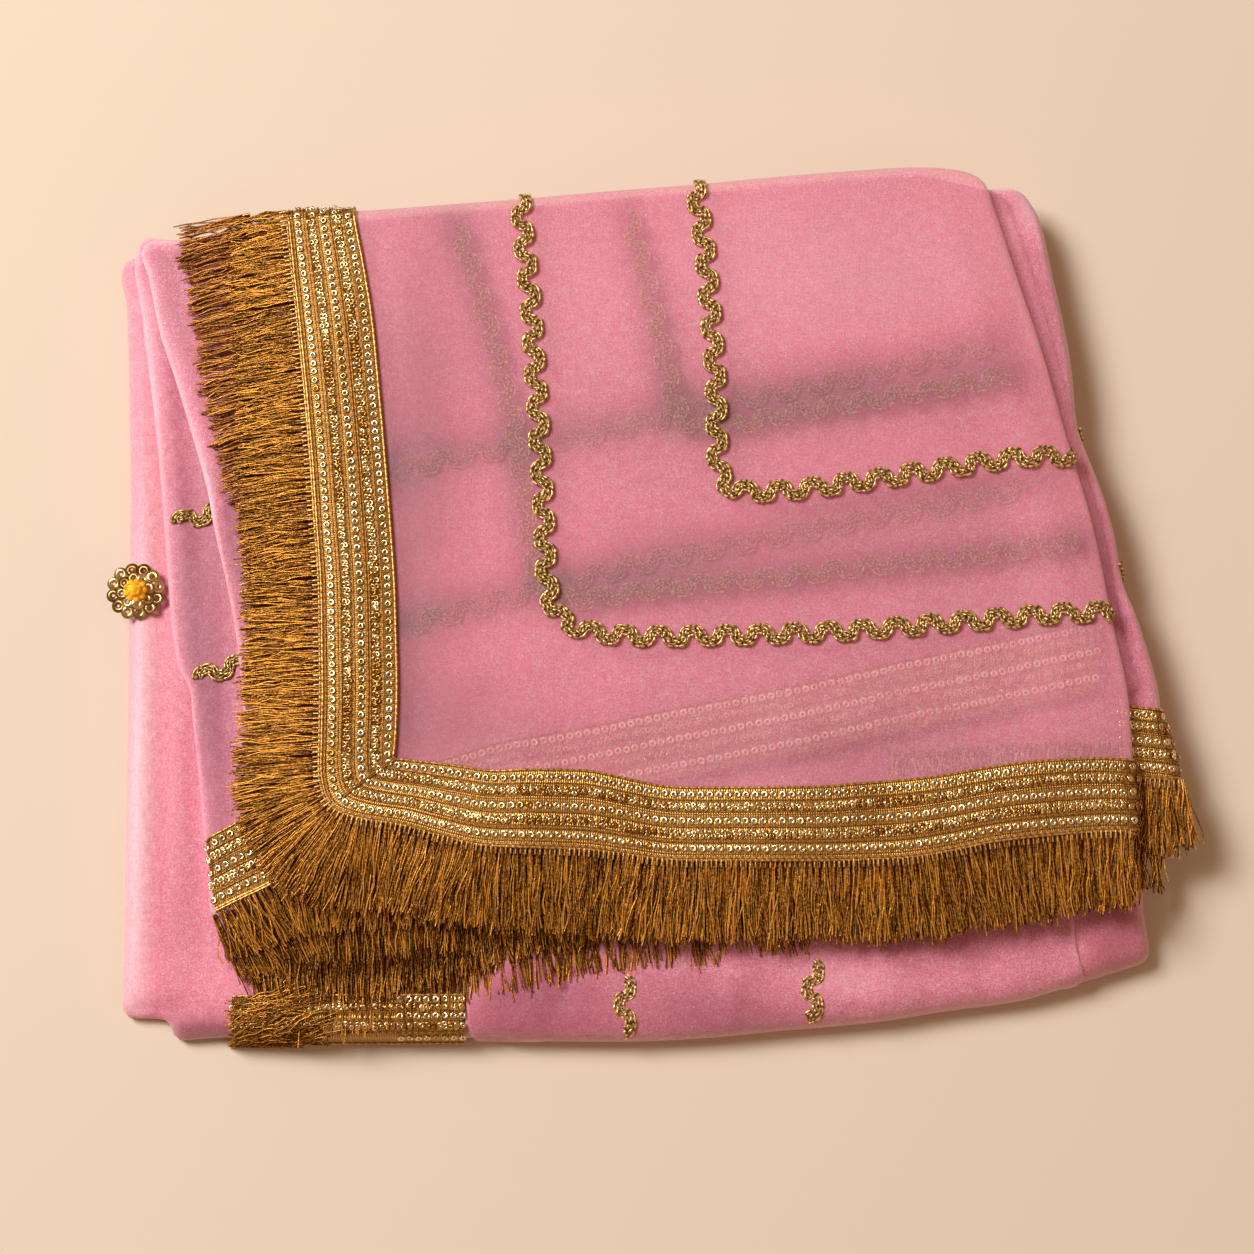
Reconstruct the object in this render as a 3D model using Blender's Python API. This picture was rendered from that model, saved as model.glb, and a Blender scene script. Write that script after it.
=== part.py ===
"""A sheer pink dupatta stole, folded into a flat stack and laid on a surface.

Units in this file are millimetres until a mesh is made, +X is to the right of
the stack as seen from the front, +Y is to the back, +Z is up. The stack rests
on Z = 0 and the origin is under the middle of its bounding box.

The cloth lies in nested layers. Each layer has an outline in plan, a level
above the stack's common ground form, and folded or cut edges. What lies on a
layer is made from that layer's own surface, moved out along its normal.
"""
import math

import bpy
from mathutils import Vector, geometry

MM = 0.001
SHIFT_X = 6.1
SHIFT_Y = -2.4

# Common form of the stack
STACK_HEIGHT = 18.0
LEFT_FALL = 9.0
FRONT_FALL = 6.0
CORNER_RELIEF = 4.0
RIGHT_FALL = 2.0
BACK_FALL = 2.0

# Walls, gaps and levels of the top side of each layer above the ground form
GAP = 0.3
TRIM_LIFT = 0.6
UNDER_LIFT = 0.35
WALL = 1.2
CORE_LEVEL = 0.0
THIRD_LEVEL = 3.0
FOLD_LEVEL = 5.4
SECOND_LEVEL = 7.3
TOP_LEVEL = 9.9
FOLD_WALL = 1.0

# Trims
BORDER_WIDTH = 25.0
BORDER_THICK = 1.1
LADDER_STEP = 15.0
UNDER_THICK = 0.7
BRAID_WAVE = 11.2
BRAID_SWING = 2.55
BRAID_BAND = 3.7
BRAID_THICK = 1.0
HEADER_GAP = 0.6
HEADER_WIDTH = 2.0
STRAND_PITCH = 4.8
STRAND_ROOT = 3.3
STRAND_TIP = 1.9

# Flower
FLOWER_X = -174.9
FLOWER_Y = 4.6
FLOWER_RADIUS = 10.1
FLOWER_PETALS = 10
BEAD_RADIUS = 2.9

# Outline rows, anticlockwise from the back left corner: x, y, fold drop
CORE_ROWS = (
    (-183.2, 121.8, 0.6),
    (-182.2, 106.0, 0.6),
    (-180.9, 86.0, 0.6),
    (-179.8, 64.0, 0.6),
    (-178.9, 41.5, 0.6),
    (-178.4, 20.0, 0.6),
    (-178.0, -5.0, 0.6),
    (-177.4, -31.5, 0.6),
    (-177.0, -58.0, 0.6),
    (-176.7, -85.5, 0.6),
    (-176.4, -110.0, 0.6),
    (-175.6, -130.0, 0.6),
    (-168.0, -138.6, 0.6),
    (-155.0, -142.2, 0.62),
    (-139.6, -144.3, 0.64),
    (-115.0, -144.4, 0.64),
    (-90.0, -144.3, 0.64),
    (-63.1, -144.2, 0.64),
    (-35.0, -144.6, 0.64),
    (-5.4, -144.6, 0.64),
    (18.0, -143.4, 0.64),
    (40.8, -141.2, 0.64),
    (60.0, -139.6, 0.64),
    (76.2, -137.9, 0.64),
    (94.0, -135.0, 0.64),
    (120.6, -131.4, 0.64),
    (141.2, -126.0, 0.64),
    (162.6, -119.4, 0.62),
    (161.3, -101.3, 0.6),
    (163.0, -80.0, 0.6),
    (166.0, -58.0, 0.6),
    (164.5, -38.0, 0.6),
    (160.0, -16.0, 0.6),
    (153.0, 5.0, 0.6),
    (149.5, 25.0, 0.6),
    (142.0, 45.0, 0.6),
    (138.4, 64.0, 0.6),
    (136.6, 85.0, 0.6),
    (132.4, 110.0, 0.6),
    (128.6, 130.0, 0.6),
    (121.0, 141.0, 0.6),
    (105.0, 144.0, 0.6),
    (90.0, 145.8, 0.6),
    (66.2, 144.4, 0.6),
    (40.7, 142.3, 0.6),
    (15.1, 139.8, 0.6),
    (-15.5, 137.3, 0.6),
    (-46.1, 134.4, 0.6),
    (-73.2, 132.3, 0.6),
    (-100.4, 129.9, 0.6),
    (-127.0, 129.3, 0.6),
    (-150.0, 127.0, 0.6),
    (-167.0, 124.5, 0.58),
)

THIRD_ROWS = (
    (-178.0, 127.4, 2.3),
    (-175.6, 99.2, 2.3),
    (-172.6, 79.0, 2.3),
    (-169.9, 60.3, 2.3),
    (-167.5, 40.0, 2.3),
    (-165.4, 20.3, 2.3),
    (-163.0, -3.5, 2.3),
    (-159.8, -21.6, 2.3),
    (-155.8, -29.1, 2.3),
    (-154.5, -39.9, 2.3),
    (-152.6, -54.0, 2.3),
    (-151.1, -66.8, 2.2),
    (-149.6, -79.4, 1.8),
    (-147.4, -92.0, 1.4),
    (-145.6, -104.6, 0.8),
    (-133.0, -98.4, 0.0),
    (-118.0, -92.2, 0.0),
    (-95.0, -90.4, 0.0),
    (-60.0, -89.3, 0.0),
    (-30.0, -86.6, 0.0),
    (0.0, -83.2, 0.0),
    (27.0, -79.8, 0.0),
    (54.0, -75.8, 0.0),
    (78.0, -71.4, 0.0),
    (102.0, -67.2, 0.0),
    (131.0, -61.7, 0.0),
    (150.0, -59.8, 0.0),
    (168.4, -61.3, 0.0),
    (172.6, -61.6, 2.4),
    (171.0, -49.1, 3.0),
    (168.0, -37.7, 4.0),
    (167.0, -28.6, 5.0),
    (164.1, -16.5, 5.0),
    (160.4, -4.3, 5.0),
    (156.6, 5.6, 5.0),
    (155.3, 14.5, 5.0),
    (153.6, 25.0, 5.0),
    (150.0, 38.9, 5.0),
    (146.2, 49.6, 5.0),
    (143.4, 58.0, 5.0),
    (142.2, 66.0, 5.0),
    (141.2, 81.7, 5.0),
    (138.8, 98.0, 5.0),
    (135.9, 113.4, 5.0),
    (133.0, 129.9, 5.0),
    (130.0, 138.0, 4.6),
    (124.4, 144.6, 4.4),
    (113.0, 144.8, 4.6),
    (104.0, 147.2, 5.0),
    (90.1, 149.4, 5.0),
    (66.2, 148.0, 5.0),
    (40.7, 145.9, 5.0),
    (15.1, 143.4, 5.0),
    (-15.5, 140.9, 5.0),
    (-46.1, 138.0, 5.0),
    (-73.2, 135.9, 5.0),
    (-100.4, 133.5, 5.0),
    (-127.0, 132.9, 5.0),
    (-150.0, 130.9, 4.4),
    (-165.0, 128.9, 3.4),
)

FOLD_ROWS = (
    (-175.6, 125.6, 1.0),
    (-173.4, 113.6, 1.0),
    (-168.9, 93.5, 1.0),
    (-163.6, 78.5, 1.0),
    (-157.2, 58.7, 1.0),
    (-151.2, 38.8, 1.0),
    (-148.4, 25.0, 1.0),
    (-144.6, 9.6, 1.0),
    (-141.2, -5.8, 1.0),
    (-139.2, -18.0, 1.0),
    (-137.5, -31.7, 1.0),
    (-135.7, -49.5, 1.0),
    (-133.4, -64.0, 1.0),
    (-118.0, -66.0, 0.0),
    (-101.0, -62.0, 0.0),
    (-98.0, -30.0, 0.0),
    (-97.0, 0.0, 0.0),
    (-98.0, 35.0, 0.0),
    (-101.0, 70.0, 0.0),
    (-105.0, 105.0, 0.0),
    (-108.0, 130.6, 1.0),
    (-127.0, 130.2, 1.0),
    (-146.0, 128.6, 1.0),
    (-162.0, 127.0, 1.0),
)

SECOND_ROWS = (
    (-138.4, 132.4, 3.2),
    (-137.5, 127.6, 0.0),
    (-134.0, 113.0, 0.0),
    (-129.6, 91.0, 0.0),
    (-125.2, 68.0, 0.0),
    (-119.0, 46.0, 0.0),
    (-113.0, 26.0, 0.0),
    (-109.0, 5.0, 0.0),
    (-107.0, -18.0, 0.0),
    (-105.5, -40.0, 0.0),
    (-104.0, -60.0, 0.0),
    (-98.0, -76.4, 0.0),
    (-80.0, -77.6, 0.0),
    (-52.0, -73.6, 0.0),
    (-31.7, -69.4, 0.0),
    (-2.1, -62.8, 0.0),
    (27.4, -57.2, 0.0),
    (53.8, -51.7, 0.0),
    (77.9, -46.0, 0.0),
    (101.8, -41.1, 0.0),
    (126.1, -35.7, 0.0),
    (144.8, -31.6, 0.0),
    (158.4, -30.4, 2.8),
    (156.8, -20.0, 3.4),
    (154.5, -9.0, 3.4),
    (152.4, 3.0, 3.4),
    (150.2, 18.0, 3.4),
    (147.4, 31.0, 3.4),
    (143.4, 46.0, 3.4),
    (140.8, 57.0, 3.4),
    (138.2, 70.0, 3.4),
    (134.8, 86.0, 3.4),
    (131.0, 102.0, 3.4),
    (126.5, 118.0, 3.4),
    (121.8, 134.0, 3.4),
    (117.6, 141.6, 3.4),
    (110.6, 142.8, 3.4),
    (103.6, 146.2, 3.4),
    (90.1, 148.4, 3.4),
    (66.2, 146.9, 3.4),
    (40.7, 144.8, 3.4),
    (15.1, 142.3, 3.4),
    (-15.5, 139.8, 3.4),
    (-46.1, 136.9, 3.4),
    (-73.2, 134.8, 3.4),
    (-100.4, 132.5, 3.4),
    (-118.0, 132.2, 3.4),
)

TOP_ROWS = (
    (-125.4, 134.2, 2.2),
    (-124.9, 128.6, 0.0),
    (-123.3, 113.9, 0.0),
    (-120.8, 94.9, 0.0),
    (-117.8, 70.3, 0.0),
    (-115.3, 46.0, 0.0),
    (-113.6, 25.4, 0.0),
    (-111.8, 5.0, 0.0),
    (-111.1, -15.3, 0.0),
    (-110.6, -33.3, 0.0),
    (-110.6, -50.0, 0.0),
    (-110.2, -62.0, 0.0),
    (-106.8, -70.2, 0.0),
    (-98.0, -74.2, 0.0),
    (-83.7, -76.6, 0.0),
    (-70.6, -80.2, 0.0),
    (-57.6, -83.1, 0.0),
    (-39.7, -84.0, 0.0),
    (-22.4, -84.7, 0.0),
    (-9.4, -86.3, 0.0),
    (3.6, -87.9, 0.0),
    (28.4, -88.2, 0.0),
    (53.1, -88.2, 0.0),
    (67.8, -87.9, 0.0),
    (81.5, -87.3, 0.0),
    (95.5, -85.0, 0.0),
    (110.3, -82.0, 0.0),
    (127.0, -80.0, 0.0),
    (143.7, -78.6, 0.0),
    (151.6, -78.4, 0.0),
    (156.8, -78.4, 2.2),
    (156.6, -58.2, 2.2),
    (156.0, -38.2, 2.2),
    (154.7, -25.9, 2.2),
    (152.3, -14.0, 2.2),
    (150.2, -2.0, 2.2),
    (147.8, 13.0, 2.2),
    (145.1, 26.9, 2.2),
    (141.0, 42.7, 2.2),
    (137.6, 55.0, 2.2),
    (133.7, 70.6, 2.2),
    (129.1, 88.4, 2.2),
    (124.2, 104.7, 2.2),
    (119.5, 121.0, 2.2),
    (115.2, 135.7, 2.2),
    (112.0, 144.6, 2.2),
    (105.0, 148.8, 3.6),
    (90.1, 150.6, 6.0),
    (66.2, 149.1, 6.0),
    (40.7, 147.0, 6.0),
    (15.1, 144.5, 6.0),
    (-15.5, 142.0, 6.0),
    (-46.1, 139.1, 6.0),
    (-73.2, 137.0, 6.0),
    (-100.4, 134.7, 4.2),
)

# Ladders of the borders: outer x, outer y, inner x, inner y
TOP_BORDER = (
    (-125.2, 129.4, -101.8, 129.6),
    (-123.5, 113.9, -98.5, 114.1),
    (-121.0, 94.9, -95.1, 94.1),
    (-118.0, 70.3, -92.4, 69.7),
    (-115.5, 46.0, -90.0, 45.5),
    (-113.8, 25.4, -88.1, 25.4),
    (-112.0, 5.0, -86.4, 5.0),
    (-111.3, -15.3, -85.6, -13.0),
    (-110.8, -33.3, -85.0, -31.0),
    (-110.8, -50.0, -85.2, -45.0),
    (-110.4, -62.0, -85.5, -51.0),
    (-107.0, -70.4, -85.7, -54.5),
    (-98.0, -74.4, -82.0, -55.0),
    (-83.7, -76.8, -74.0, -56.0),
    (-70.6, -80.4, -64.5, -57.2),
    (-57.6, -83.3, -54.0, -58.8),
    (-39.7, -84.2, -37.8, -58.6),
    (-22.4, -84.9, -22.4, -58.8),
    (-9.4, -86.5, -9.4, -61.4),
    (3.6, -88.1, 3.7, -63.8),
    (28.4, -88.4, 28.5, -64.4),
    (53.1, -88.4, 53.0, -64.2),
    (67.8, -88.1, 66.6, -62.8),
    (81.5, -87.5, 79.4, -61.8),
    (95.5, -85.2, 92.8, -60.4),
    (110.3, -82.2, 107.8, -57.8),
    (127.0, -80.2, 125.4, -55.6),
    (143.7, -78.8, 142.8, -54.5),
    (151.8, -78.6, 151.6, -54.7),
)

SECOND_BORDER = (
    (-97.0, -75.4, -91.0, -57.0),
    (-80.0, -77.2, -76.0, -56.0),
    (-52.0, -73.2, -51.0, -48.6),
    (-31.7, -69.0, -27.0, -44.4),
    (-2.1, -62.4, 3.4, -38.0),
    (27.4, -56.8, 32.4, -32.4),
    (53.8, -51.3, 59.0, -26.8),
    (77.9, -45.6, 83.0, -21.2),
    (101.8, -40.7, 107.0, -16.2),
    (126.1, -35.3, 130.4, -11.0),
    (144.8, -31.2, 147.0, -7.4),
)

THIRD_BORDER = (
    (-145.0, -103.6, -148.4, -80.0),
    (-143.0, -102.6, -146.4, -78.4),
    (-133.0, -98.0, -137.0, -73.6),
    (-118.0, -91.8, -121.0, -68.0),
    (-95.0, -90.0, -96.0, -66.0),
    (-60.0, -88.9, -60.0, -64.4),
    (-30.0, -86.2, -28.0, -61.8),
    (0.0, -82.8, 3.0, -58.4),
    (27.0, -79.4, 30.6, -55.0),
    (54.0, -75.4, 58.0, -51.0),
    (78.0, -71.0, 82.0, -46.6),
    (102.0, -66.8, 106.0, -42.4),
    (131.0, -61.3, 133.4, -37.0),
    (150.0, -59.4, 150.0, -35.4),
    (160.0, -60.2, 157.0, -36.0),
    (168.0, -60.8, 163.4, -36.8),
)

# Braid paths: x, y
TOP_OUTER_BRAID = (
    (-46.0, 139.0), (-45.9, 137.0), (-44.6, 120.9), (-42.4, 101.4), (-40.5, 75.0), (-38.7, 49.1),
    (-37.3, 25.2), (-36.2, 4.0), (-33.4, -5.6), (-26.9, -11.0), (-15.3, -13.4), (-2.1, -14.2),
    (30.9, -13.7), (63.9, -12.4), (88.6, -10.4), (113.5, -8.1), (131.8, -6.4), (148.8, -5.6), (150.9, -5.6),
)
TOP_INNER_BRAID = (
    (13.4, 144.2), (13.5, 142.0), (15.1, 130.0), (16.7, 117.0), (18.6, 92.5), (20.1, 66.3), (20.6, 45.0),
    (22.9, 37.8), (29.0, 35.2), (41.2, 35.2), (61.2, 37.5), (81.2, 40.5), (98.0, 43.2), (114.8, 45.9),
    (128.2, 47.0), (137.5, 47.2), (139.6, 47.2),
)
SECOND_OUTER_BRAID = (
    (-67.6, 127.6), (-62.2, 112.8), (-55.9, 91.5), (-50.6, 70.5), (-46.9, 56.6), (-43.6, 30.0),
    (-40.6, 12.1), (-36.0, 1.9), (-27.3, -1.3), (-15.3, 0.0), (14.5, 3.8), (41.7, 6.4), (69.0, 9.7),
    (105.6, 13.8), (124.1, 16.4), (141.0, 18.6),
)
SECOND_INNER_BRAID = (
    (-9.2, 132.4), (-5.3, 118.2), (-0.3, 96.8), (4.1, 75.7), (7.4, 64.0), (12.6, 57.6), (21.8, 57.6),
    (34.9, 60.1), (55.0, 64.2), (81.9, 68.4), (102.2, 72.4), (120.8, 76.3),
)
THIRD_UPPER_BRAID = (
    (-161.5, 27.6), (-149.8, 31.0), (-120.0, 37.6), (-87.8, 43.5), (-60.1, 49.6),
    (-32.5, 54.2), (-5.3, 59.8), (28.4, 68.1), (48.6, 72.3), (68.9, 76.8), (89.2, 81.4), (113.1, 87.6),
)
THIRD_LOWER_BRAID = (
    (-152.8, -25.8), (-142.0, -22.0), (-112.0, -15.8), (-83.7, -9.4), (-59.6, -3.0),
    (-37.0, 3.6), (-3.0, 12.2), (34.0, 19.8), (69.5, 27.0), (106.5, 34.0), (125.1, 38.3),
)
FRONT_LEFT_BRAID = ((-10.4, -125.6), (-10.4, -138.6), (-10.4, -142.4))
FRONT_RIGHT_BRAID = ((51.4, -120.4), (50.9, -134.2), (50.8, -138.2))

# Fringe roots: x, y, strand length
TOP_FRINGE = (
    (-125.6, 130.0, 19.5), (-123.5, 113.9, 20.5), (-121.0, 94.9, 22.0), (-118.0, 70.3, 23.0),
    (-115.5, 46.0, 24.0), (-113.8, 25.4, 24.5), (-112.0, 5.0, 25.0), (-111.3, -15.3, 25.5),
    (-110.8, -33.3, 26.0), (-110.8, -50.0, 27.0), (-110.2, -62.0, 28.5), (-108.6, -67.6, 29.5),
    (-104.6, -72.2, 29.5), (-98.0, -74.8, 28.5), (-83.7, -77.0, 27.0), (-70.6, -80.6, 26.0),
    (-57.6, -83.4, 25.5), (-39.7, -84.4, 26.0), (-22.4, -85.1, 26.0), (-9.4, -86.7, 25.5),
    (3.6, -88.3, 24.8), (28.4, -88.6, 24.5), (53.1, -88.6, 24.5), (67.8, -88.3, 24.8),
    (81.5, -87.7, 25.0), (95.5, -85.4, 25.5), (110.3, -82.4, 26.0), (127.0, -80.4, 25.0),
    (143.7, -79.0, 24.0), (154.6, -78.8, 23.5),
)
SECOND_FRINGE = (
    (-138.0, 129.0, 25.0), (-134.2, 113.0, 25.0), (-129.8, 91.0, 25.5), (-125.4, 68.0, 26.0),
    (-119.2, 46.0, 26.0), (-113.2, 26.0, 26.0), (-109.8, 10.0, 25.0),
)
THIRD_FRINGE = (
    (-145.0, -105.0, 24.0), (-133.0, -99.0, 25.0), (-118.0, -92.8, 26.5), (-95.0, -90.8, 27.0),
    (-60.0, -89.7, 26.0), (-30.0, -87.0, 25.5), (0.0, -83.6, 25.5), (12.0, -82.0, 25.0),
)
THIRD_RIGHT_FRINGE = ((159.6, -60.4, 23.0), (173.4, -62.0, 22.0))
LOWER_FRINGE = (
    (-122.0, -103.0, 23.5), (-98.0, -103.0, 24.5), (-74.4, -103.0, 24.5), (-31.7, -100.2, 24.0),
    (7.7, -96.4, 24.0), (47.2, -92.4, 24.0),
)
LOWER_RIGHT_FRINGE = ((158.4, -72.0, 24.0), (165.6, -72.0, 23.5))


def ease(t):
    t = max(0.0, min(1.0, t))
    return t * t * (3.0 - 2.0 * t)


def ground(x, y):
    """Height of the stack's common form, which falls to the left and the front."""
    left = ease((-92.0 - x) / 80.0)
    front = ease((-62.0 - y) / 80.0)
    right = ease((x - 70.0) / 100.0)
    back = ease((y - 70.0) / 75.0)
    fall = LEFT_FALL * left + FRONT_FALL * front - CORNER_RELIEF * left * front
    return STACK_HEIGHT - fall - RIGHT_FALL * right - BACK_FALL * back


def subdivide(rows, step):
    """Closed rows with every side no longer than the step."""
    out = []
    for i, row in enumerate(rows):
        after = rows[(i + 1) % len(rows)]
        parts = max(1, math.ceil(math.dist(row[:2], after[:2]) / step))
        for k in range(parts):
            t = k / parts
            out.append(tuple(a + (b - a) * t for a, b in zip(row, after)))
    return out


def smooth_path(rows, step):
    """Open rows resampled at an even step along a rounded curve."""
    dense = []
    last = len(rows) - 1
    for i in range(last):
        p0 = Vector(rows[max(0, i - 1)])
        p1 = Vector(rows[i])
        p2 = Vector(rows[i + 1])
        p3 = Vector(rows[min(last, i + 2)])
        size = (p2 - p1).length
        m1 = (p2 - p0) * (size / max(1e-6, (p2 - p0).length))
        m2 = (p3 - p1) * (size / max(1e-6, (p3 - p1).length))
        for k in range(12):
            t = k / 12.0
            a = 2 * t**3 - 3 * t**2 + 1
            b = t**3 - 2 * t**2 + t
            c = -2 * t**3 + 3 * t**2
            d = t**3 - t**2
            dense.append(p1 * a + m1 * b + p2 * c + m2 * d)
    dense.append(Vector(rows[-1]))
    lengths = [0.0]
    for a, b in zip(dense, dense[1:]):
        lengths.append(lengths[-1] + (Vector(b[:2]) - Vector(a[:2])).length)
    count = max(1, round(lengths[-1] / step))
    out = []
    k = 0
    for i in range(count + 1):
        want = lengths[-1] * i / count
        while k < len(dense) - 2 and lengths[k + 1] < want:
            k += 1
        span = max(1e-9, lengths[k + 1] - lengths[k])
        out.append(dense[k].lerp(dense[k + 1], (want - lengths[k]) / span))
    return out


class Layer:
    """One layer's upper side: an outline, a level and a rounded edge."""

    def __init__(self, rows, level, radius, step=16.0, share=False):
        self.rows = subdivide(rows, step)
        if share:
            self.rows = [(x, y, f * (ground(x, y) + level)) for x, y, f in self.rows]
        self.level = level
        self.radius = radius
        self.sides = []
        count = len(self.rows)
        for i in range(count):
            ax, ay, _ = self.rows[i]
            bx, by, _ = self.rows[(i + 1) % count]
            size = math.dist((ax, ay), (bx, by))
            self.sides.append(((by - ay) / size, (ax - bx) / size))

    def miter(self, i):
        """Outward direction at an outline point, long enough to move both sides by one."""
        ax, ay = self.sides[i - 1]
        bx, by = self.sides[i]
        k = 1.0 + ax * bx + ay * by
        return (ax + bx) / k, (ay + by) / k

    def edge(self, x, y):
        """Distance inside the outline, fold drop there and the outward direction."""
        best = None
        count = len(self.rows)
        inside = False
        for i in range(count):
            ax, ay, ah = self.rows[i]
            bx, by, bh = self.rows[(i + 1) % count]
            dx, dy = bx - ax, by - ay
            t = ((x - ax) * dx + (y - ay) * dy) / (dx * dx + dy * dy)
            t = max(0.0, min(1.0, t))
            gap = math.hypot(x - ax - dx * t, y - ay - dy * t)
            if best is None or gap < best[0]:
                best = (gap, ah + (bh - ah) * t, self.sides[i])
            if (ay > y) != (by > y) and x < ax + (y - ay) * dx / dy:
                inside = not inside
        gap, drop, side = best
        return (gap if inside else -gap), drop, side

    def point(self, x, y, lift=0.0):
        """A point above the layer, lifted along the normal of its upper side."""
        gap, drop, side = self.edge(x, y)
        turn = math.asin(max(0.0, min(1.0, 1.0 - gap / self.radius)))
        return self.place(x, y, drop, side, turn, lift)

    def place(self, x, y, drop, side, turn, lift):
        step = 0.5
        z = ground(x, y)
        slope_x = (ground(x + step, y) - z) / step
        slope_y = (ground(x, y + step) - z) / step
        up = max(math.cos(turn), 1.0 - drop) * self.radius
        out = math.sin(turn) * drop
        normal = Vector((side[0] * out - slope_x * up, side[1] * out - slope_y * up, up))
        normal.normalize()
        base = Vector((x, y, z + self.level - drop * (1.0 - math.cos(turn))))
        return base + normal * lift

    def ring(self, turn, lift=0.0, extra=None):
        """Points along the outline where the rounded edge has turned by an angle."""
        out = []
        for i, (x, y, drop) in enumerate(self.rows):
            mx, my = self.miter(i)
            size = math.hypot(mx, my)
            inset = self.radius * (1.0 - math.sin(turn))
            if extra is not None:
                inset += extra[i]
            px, py = x - mx * inset, y - my * inset
            out.append(self.place(px, py, drop, (mx / size, my / size), turn, lift))
        return out


def lattice(layer, margin):
    """Points of a common grid that lie well inside a layer."""
    columns = [-178.0 + 10.0 * i for i in range(10)] + [-58.0 + 32.0 * i for i in range(8)]
    lines = [-136.0 + 15.0 * i for i in range(6)] + [-22.0 + 36.0 * i for i in range(5)]
    out = []
    for i, x in enumerate(columns):
        for y in lines:
            shifted = y + (5.0 if i % 2 else 0.0)
            if layer.edge(x, shifted)[0] > margin:
                out.append((x, shifted))
    return out


def fill(ring, points):
    """Triangles that span a closed ring and the points inside it."""
    count = len(ring)
    flat = [Vector((p[0], p[1])) for p in ring] + [Vector(p) for p in points]
    sides = [(i, (i + 1) % count) for i in range(count)]
    found, _, faces, origin, _, _ = geometry.delaunay_2d_cdt(flat, sides, [], 1, 1e-5)
    names = [min(o) for o in origin]
    assert len(found) == len(flat)
    return [tuple(names[k] for k in face) for face in faces]


def material(name, colour, rough, metal):
    mat = bpy.data.materials.new(name)
    mat.use_nodes = True
    shader = mat.node_tree.nodes["Principled BSDF"]
    shader.inputs["Base Color"].default_value = (*colour, 1.0)
    shader.inputs["Roughness"].default_value = rough
    shader.inputs["Metallic"].default_value = metal
    return mat


def add(name, points, faces, colour, rough, metal):
    """One closed body from points in millimetres."""
    mesh = bpy.data.meshes.new(name)
    shift = Vector((SHIFT_X, SHIFT_Y, 0.0))
    mesh.from_pydata([(p + shift) * MM for p in points], [], faces)
    mesh.materials.append(material(name, colour, rough, metal))
    mesh.validate()
    body = bpy.data.objects.new(name, mesh)
    bpy.context.scene.collection.objects.link(body)
    return body


def band(faces, low, high, count):
    """Quads between two closed rings of equal count, low ring first."""
    for i in range(count):
        j = (i + 1) % count
        faces.append((low + i, low + j, high + j, high + i))


def add_sheet(name, layer, wall, turns, colour):
    """A wall of cloth with a rounded edge, open underneath."""
    count = len(layer.rows)
    inner = layer.ring(0.0)
    spots = lattice(layer, layer.radius + 4.0)
    cells = fill(inner, spots)
    points = []
    faces = []
    sides = []
    for lift in (0.0, -wall):
        start = len(points)
        for turn in turns:
            points += layer.ring(math.radians(turn), lift)
        points += [layer.point(x, y, lift) for x, y in spots]
        sides.append(start)
        last = start + (len(turns) - 1) * count
        for cell in cells:
            row = [last + k for k in cell]
            faces.append(tuple(row if lift == 0.0 else reversed(row)))
        for k in range(len(turns) - 1):
            low, high = start + k * count, start + (k + 1) * count
            if lift == 0.0:
                band(faces, low, high, count)
            else:
                band(faces, high, low, count)
    band(faces, sides[1], sides[0], count)
    return add(name, points, faces, colour, 0.55, 0.0)


def add_core(layer, colour):
    """The hidden folds as one rounded body with grooves between its layers."""
    count = len(layer.rows)
    grooved = []
    for x, y, _ in layer.rows:
        right = ease((x - 120.0) / 30.0) * ease((y + 112.0) / 20.0)
        back = ease((y - 118.0) / 10.0) * ease((x + 186.0) / 20.0)
        grooved.append(max(right, back))
    turns = ((0, 0.0), (24, 0.0), (42, 1.3), (56, 0.0), (74, 1.5), (90, 0.0))
    points = []
    for turn, groove in turns:
        points += layer.ring(math.radians(turn), 0.0, [groove * g for g in grooved])
    for part, inset, groove in ((0.22, 0.1, 0.0), (0.15, 0.4, 1.5), (0.07, 0.7, 0.0), (0.0, 2.2, 0.0)):
        for i, (x, y, drop) in enumerate(layer.rows):
            mx, my = layer.miter(i)
            size = inset + groove * grooved[i]
            height = (ground(x, y) + layer.level) * part
            points.append(Vector((x - mx * size, y - my * size, height)))
    spots = lattice(layer, layer.radius + 4.0)
    top = points[:count]
    faces = [tuple(k if k < count else k - count + len(points) for k in cell) for cell in fill(top, spots)]
    rings = len(points) // count
    points += [layer.point(x, y) for x, y in spots]
    for k in range(rings - 1):
        band(faces, (k + 1) * count, k * count, count)
    last = (rings - 1) * count
    under = fill(points[last:last + count], [])
    faces += [tuple(last + k for k in reversed(cell)) for cell in under]
    return add("cloth_core", points, faces, colour, 0.6, 0.0)


def shorten(rows, step):
    """Open rows with no two further apart than the step."""
    out = []
    for row, after in zip(rows, rows[1:]):
        parts = max(1, math.ceil(math.dist(row[:2], after[:2]) / step))
        out += [tuple(a + (b - a) * k / parts for a, b in zip(row, after)) for k in range(parts)]
    return out + [rows[-1]]


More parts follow.
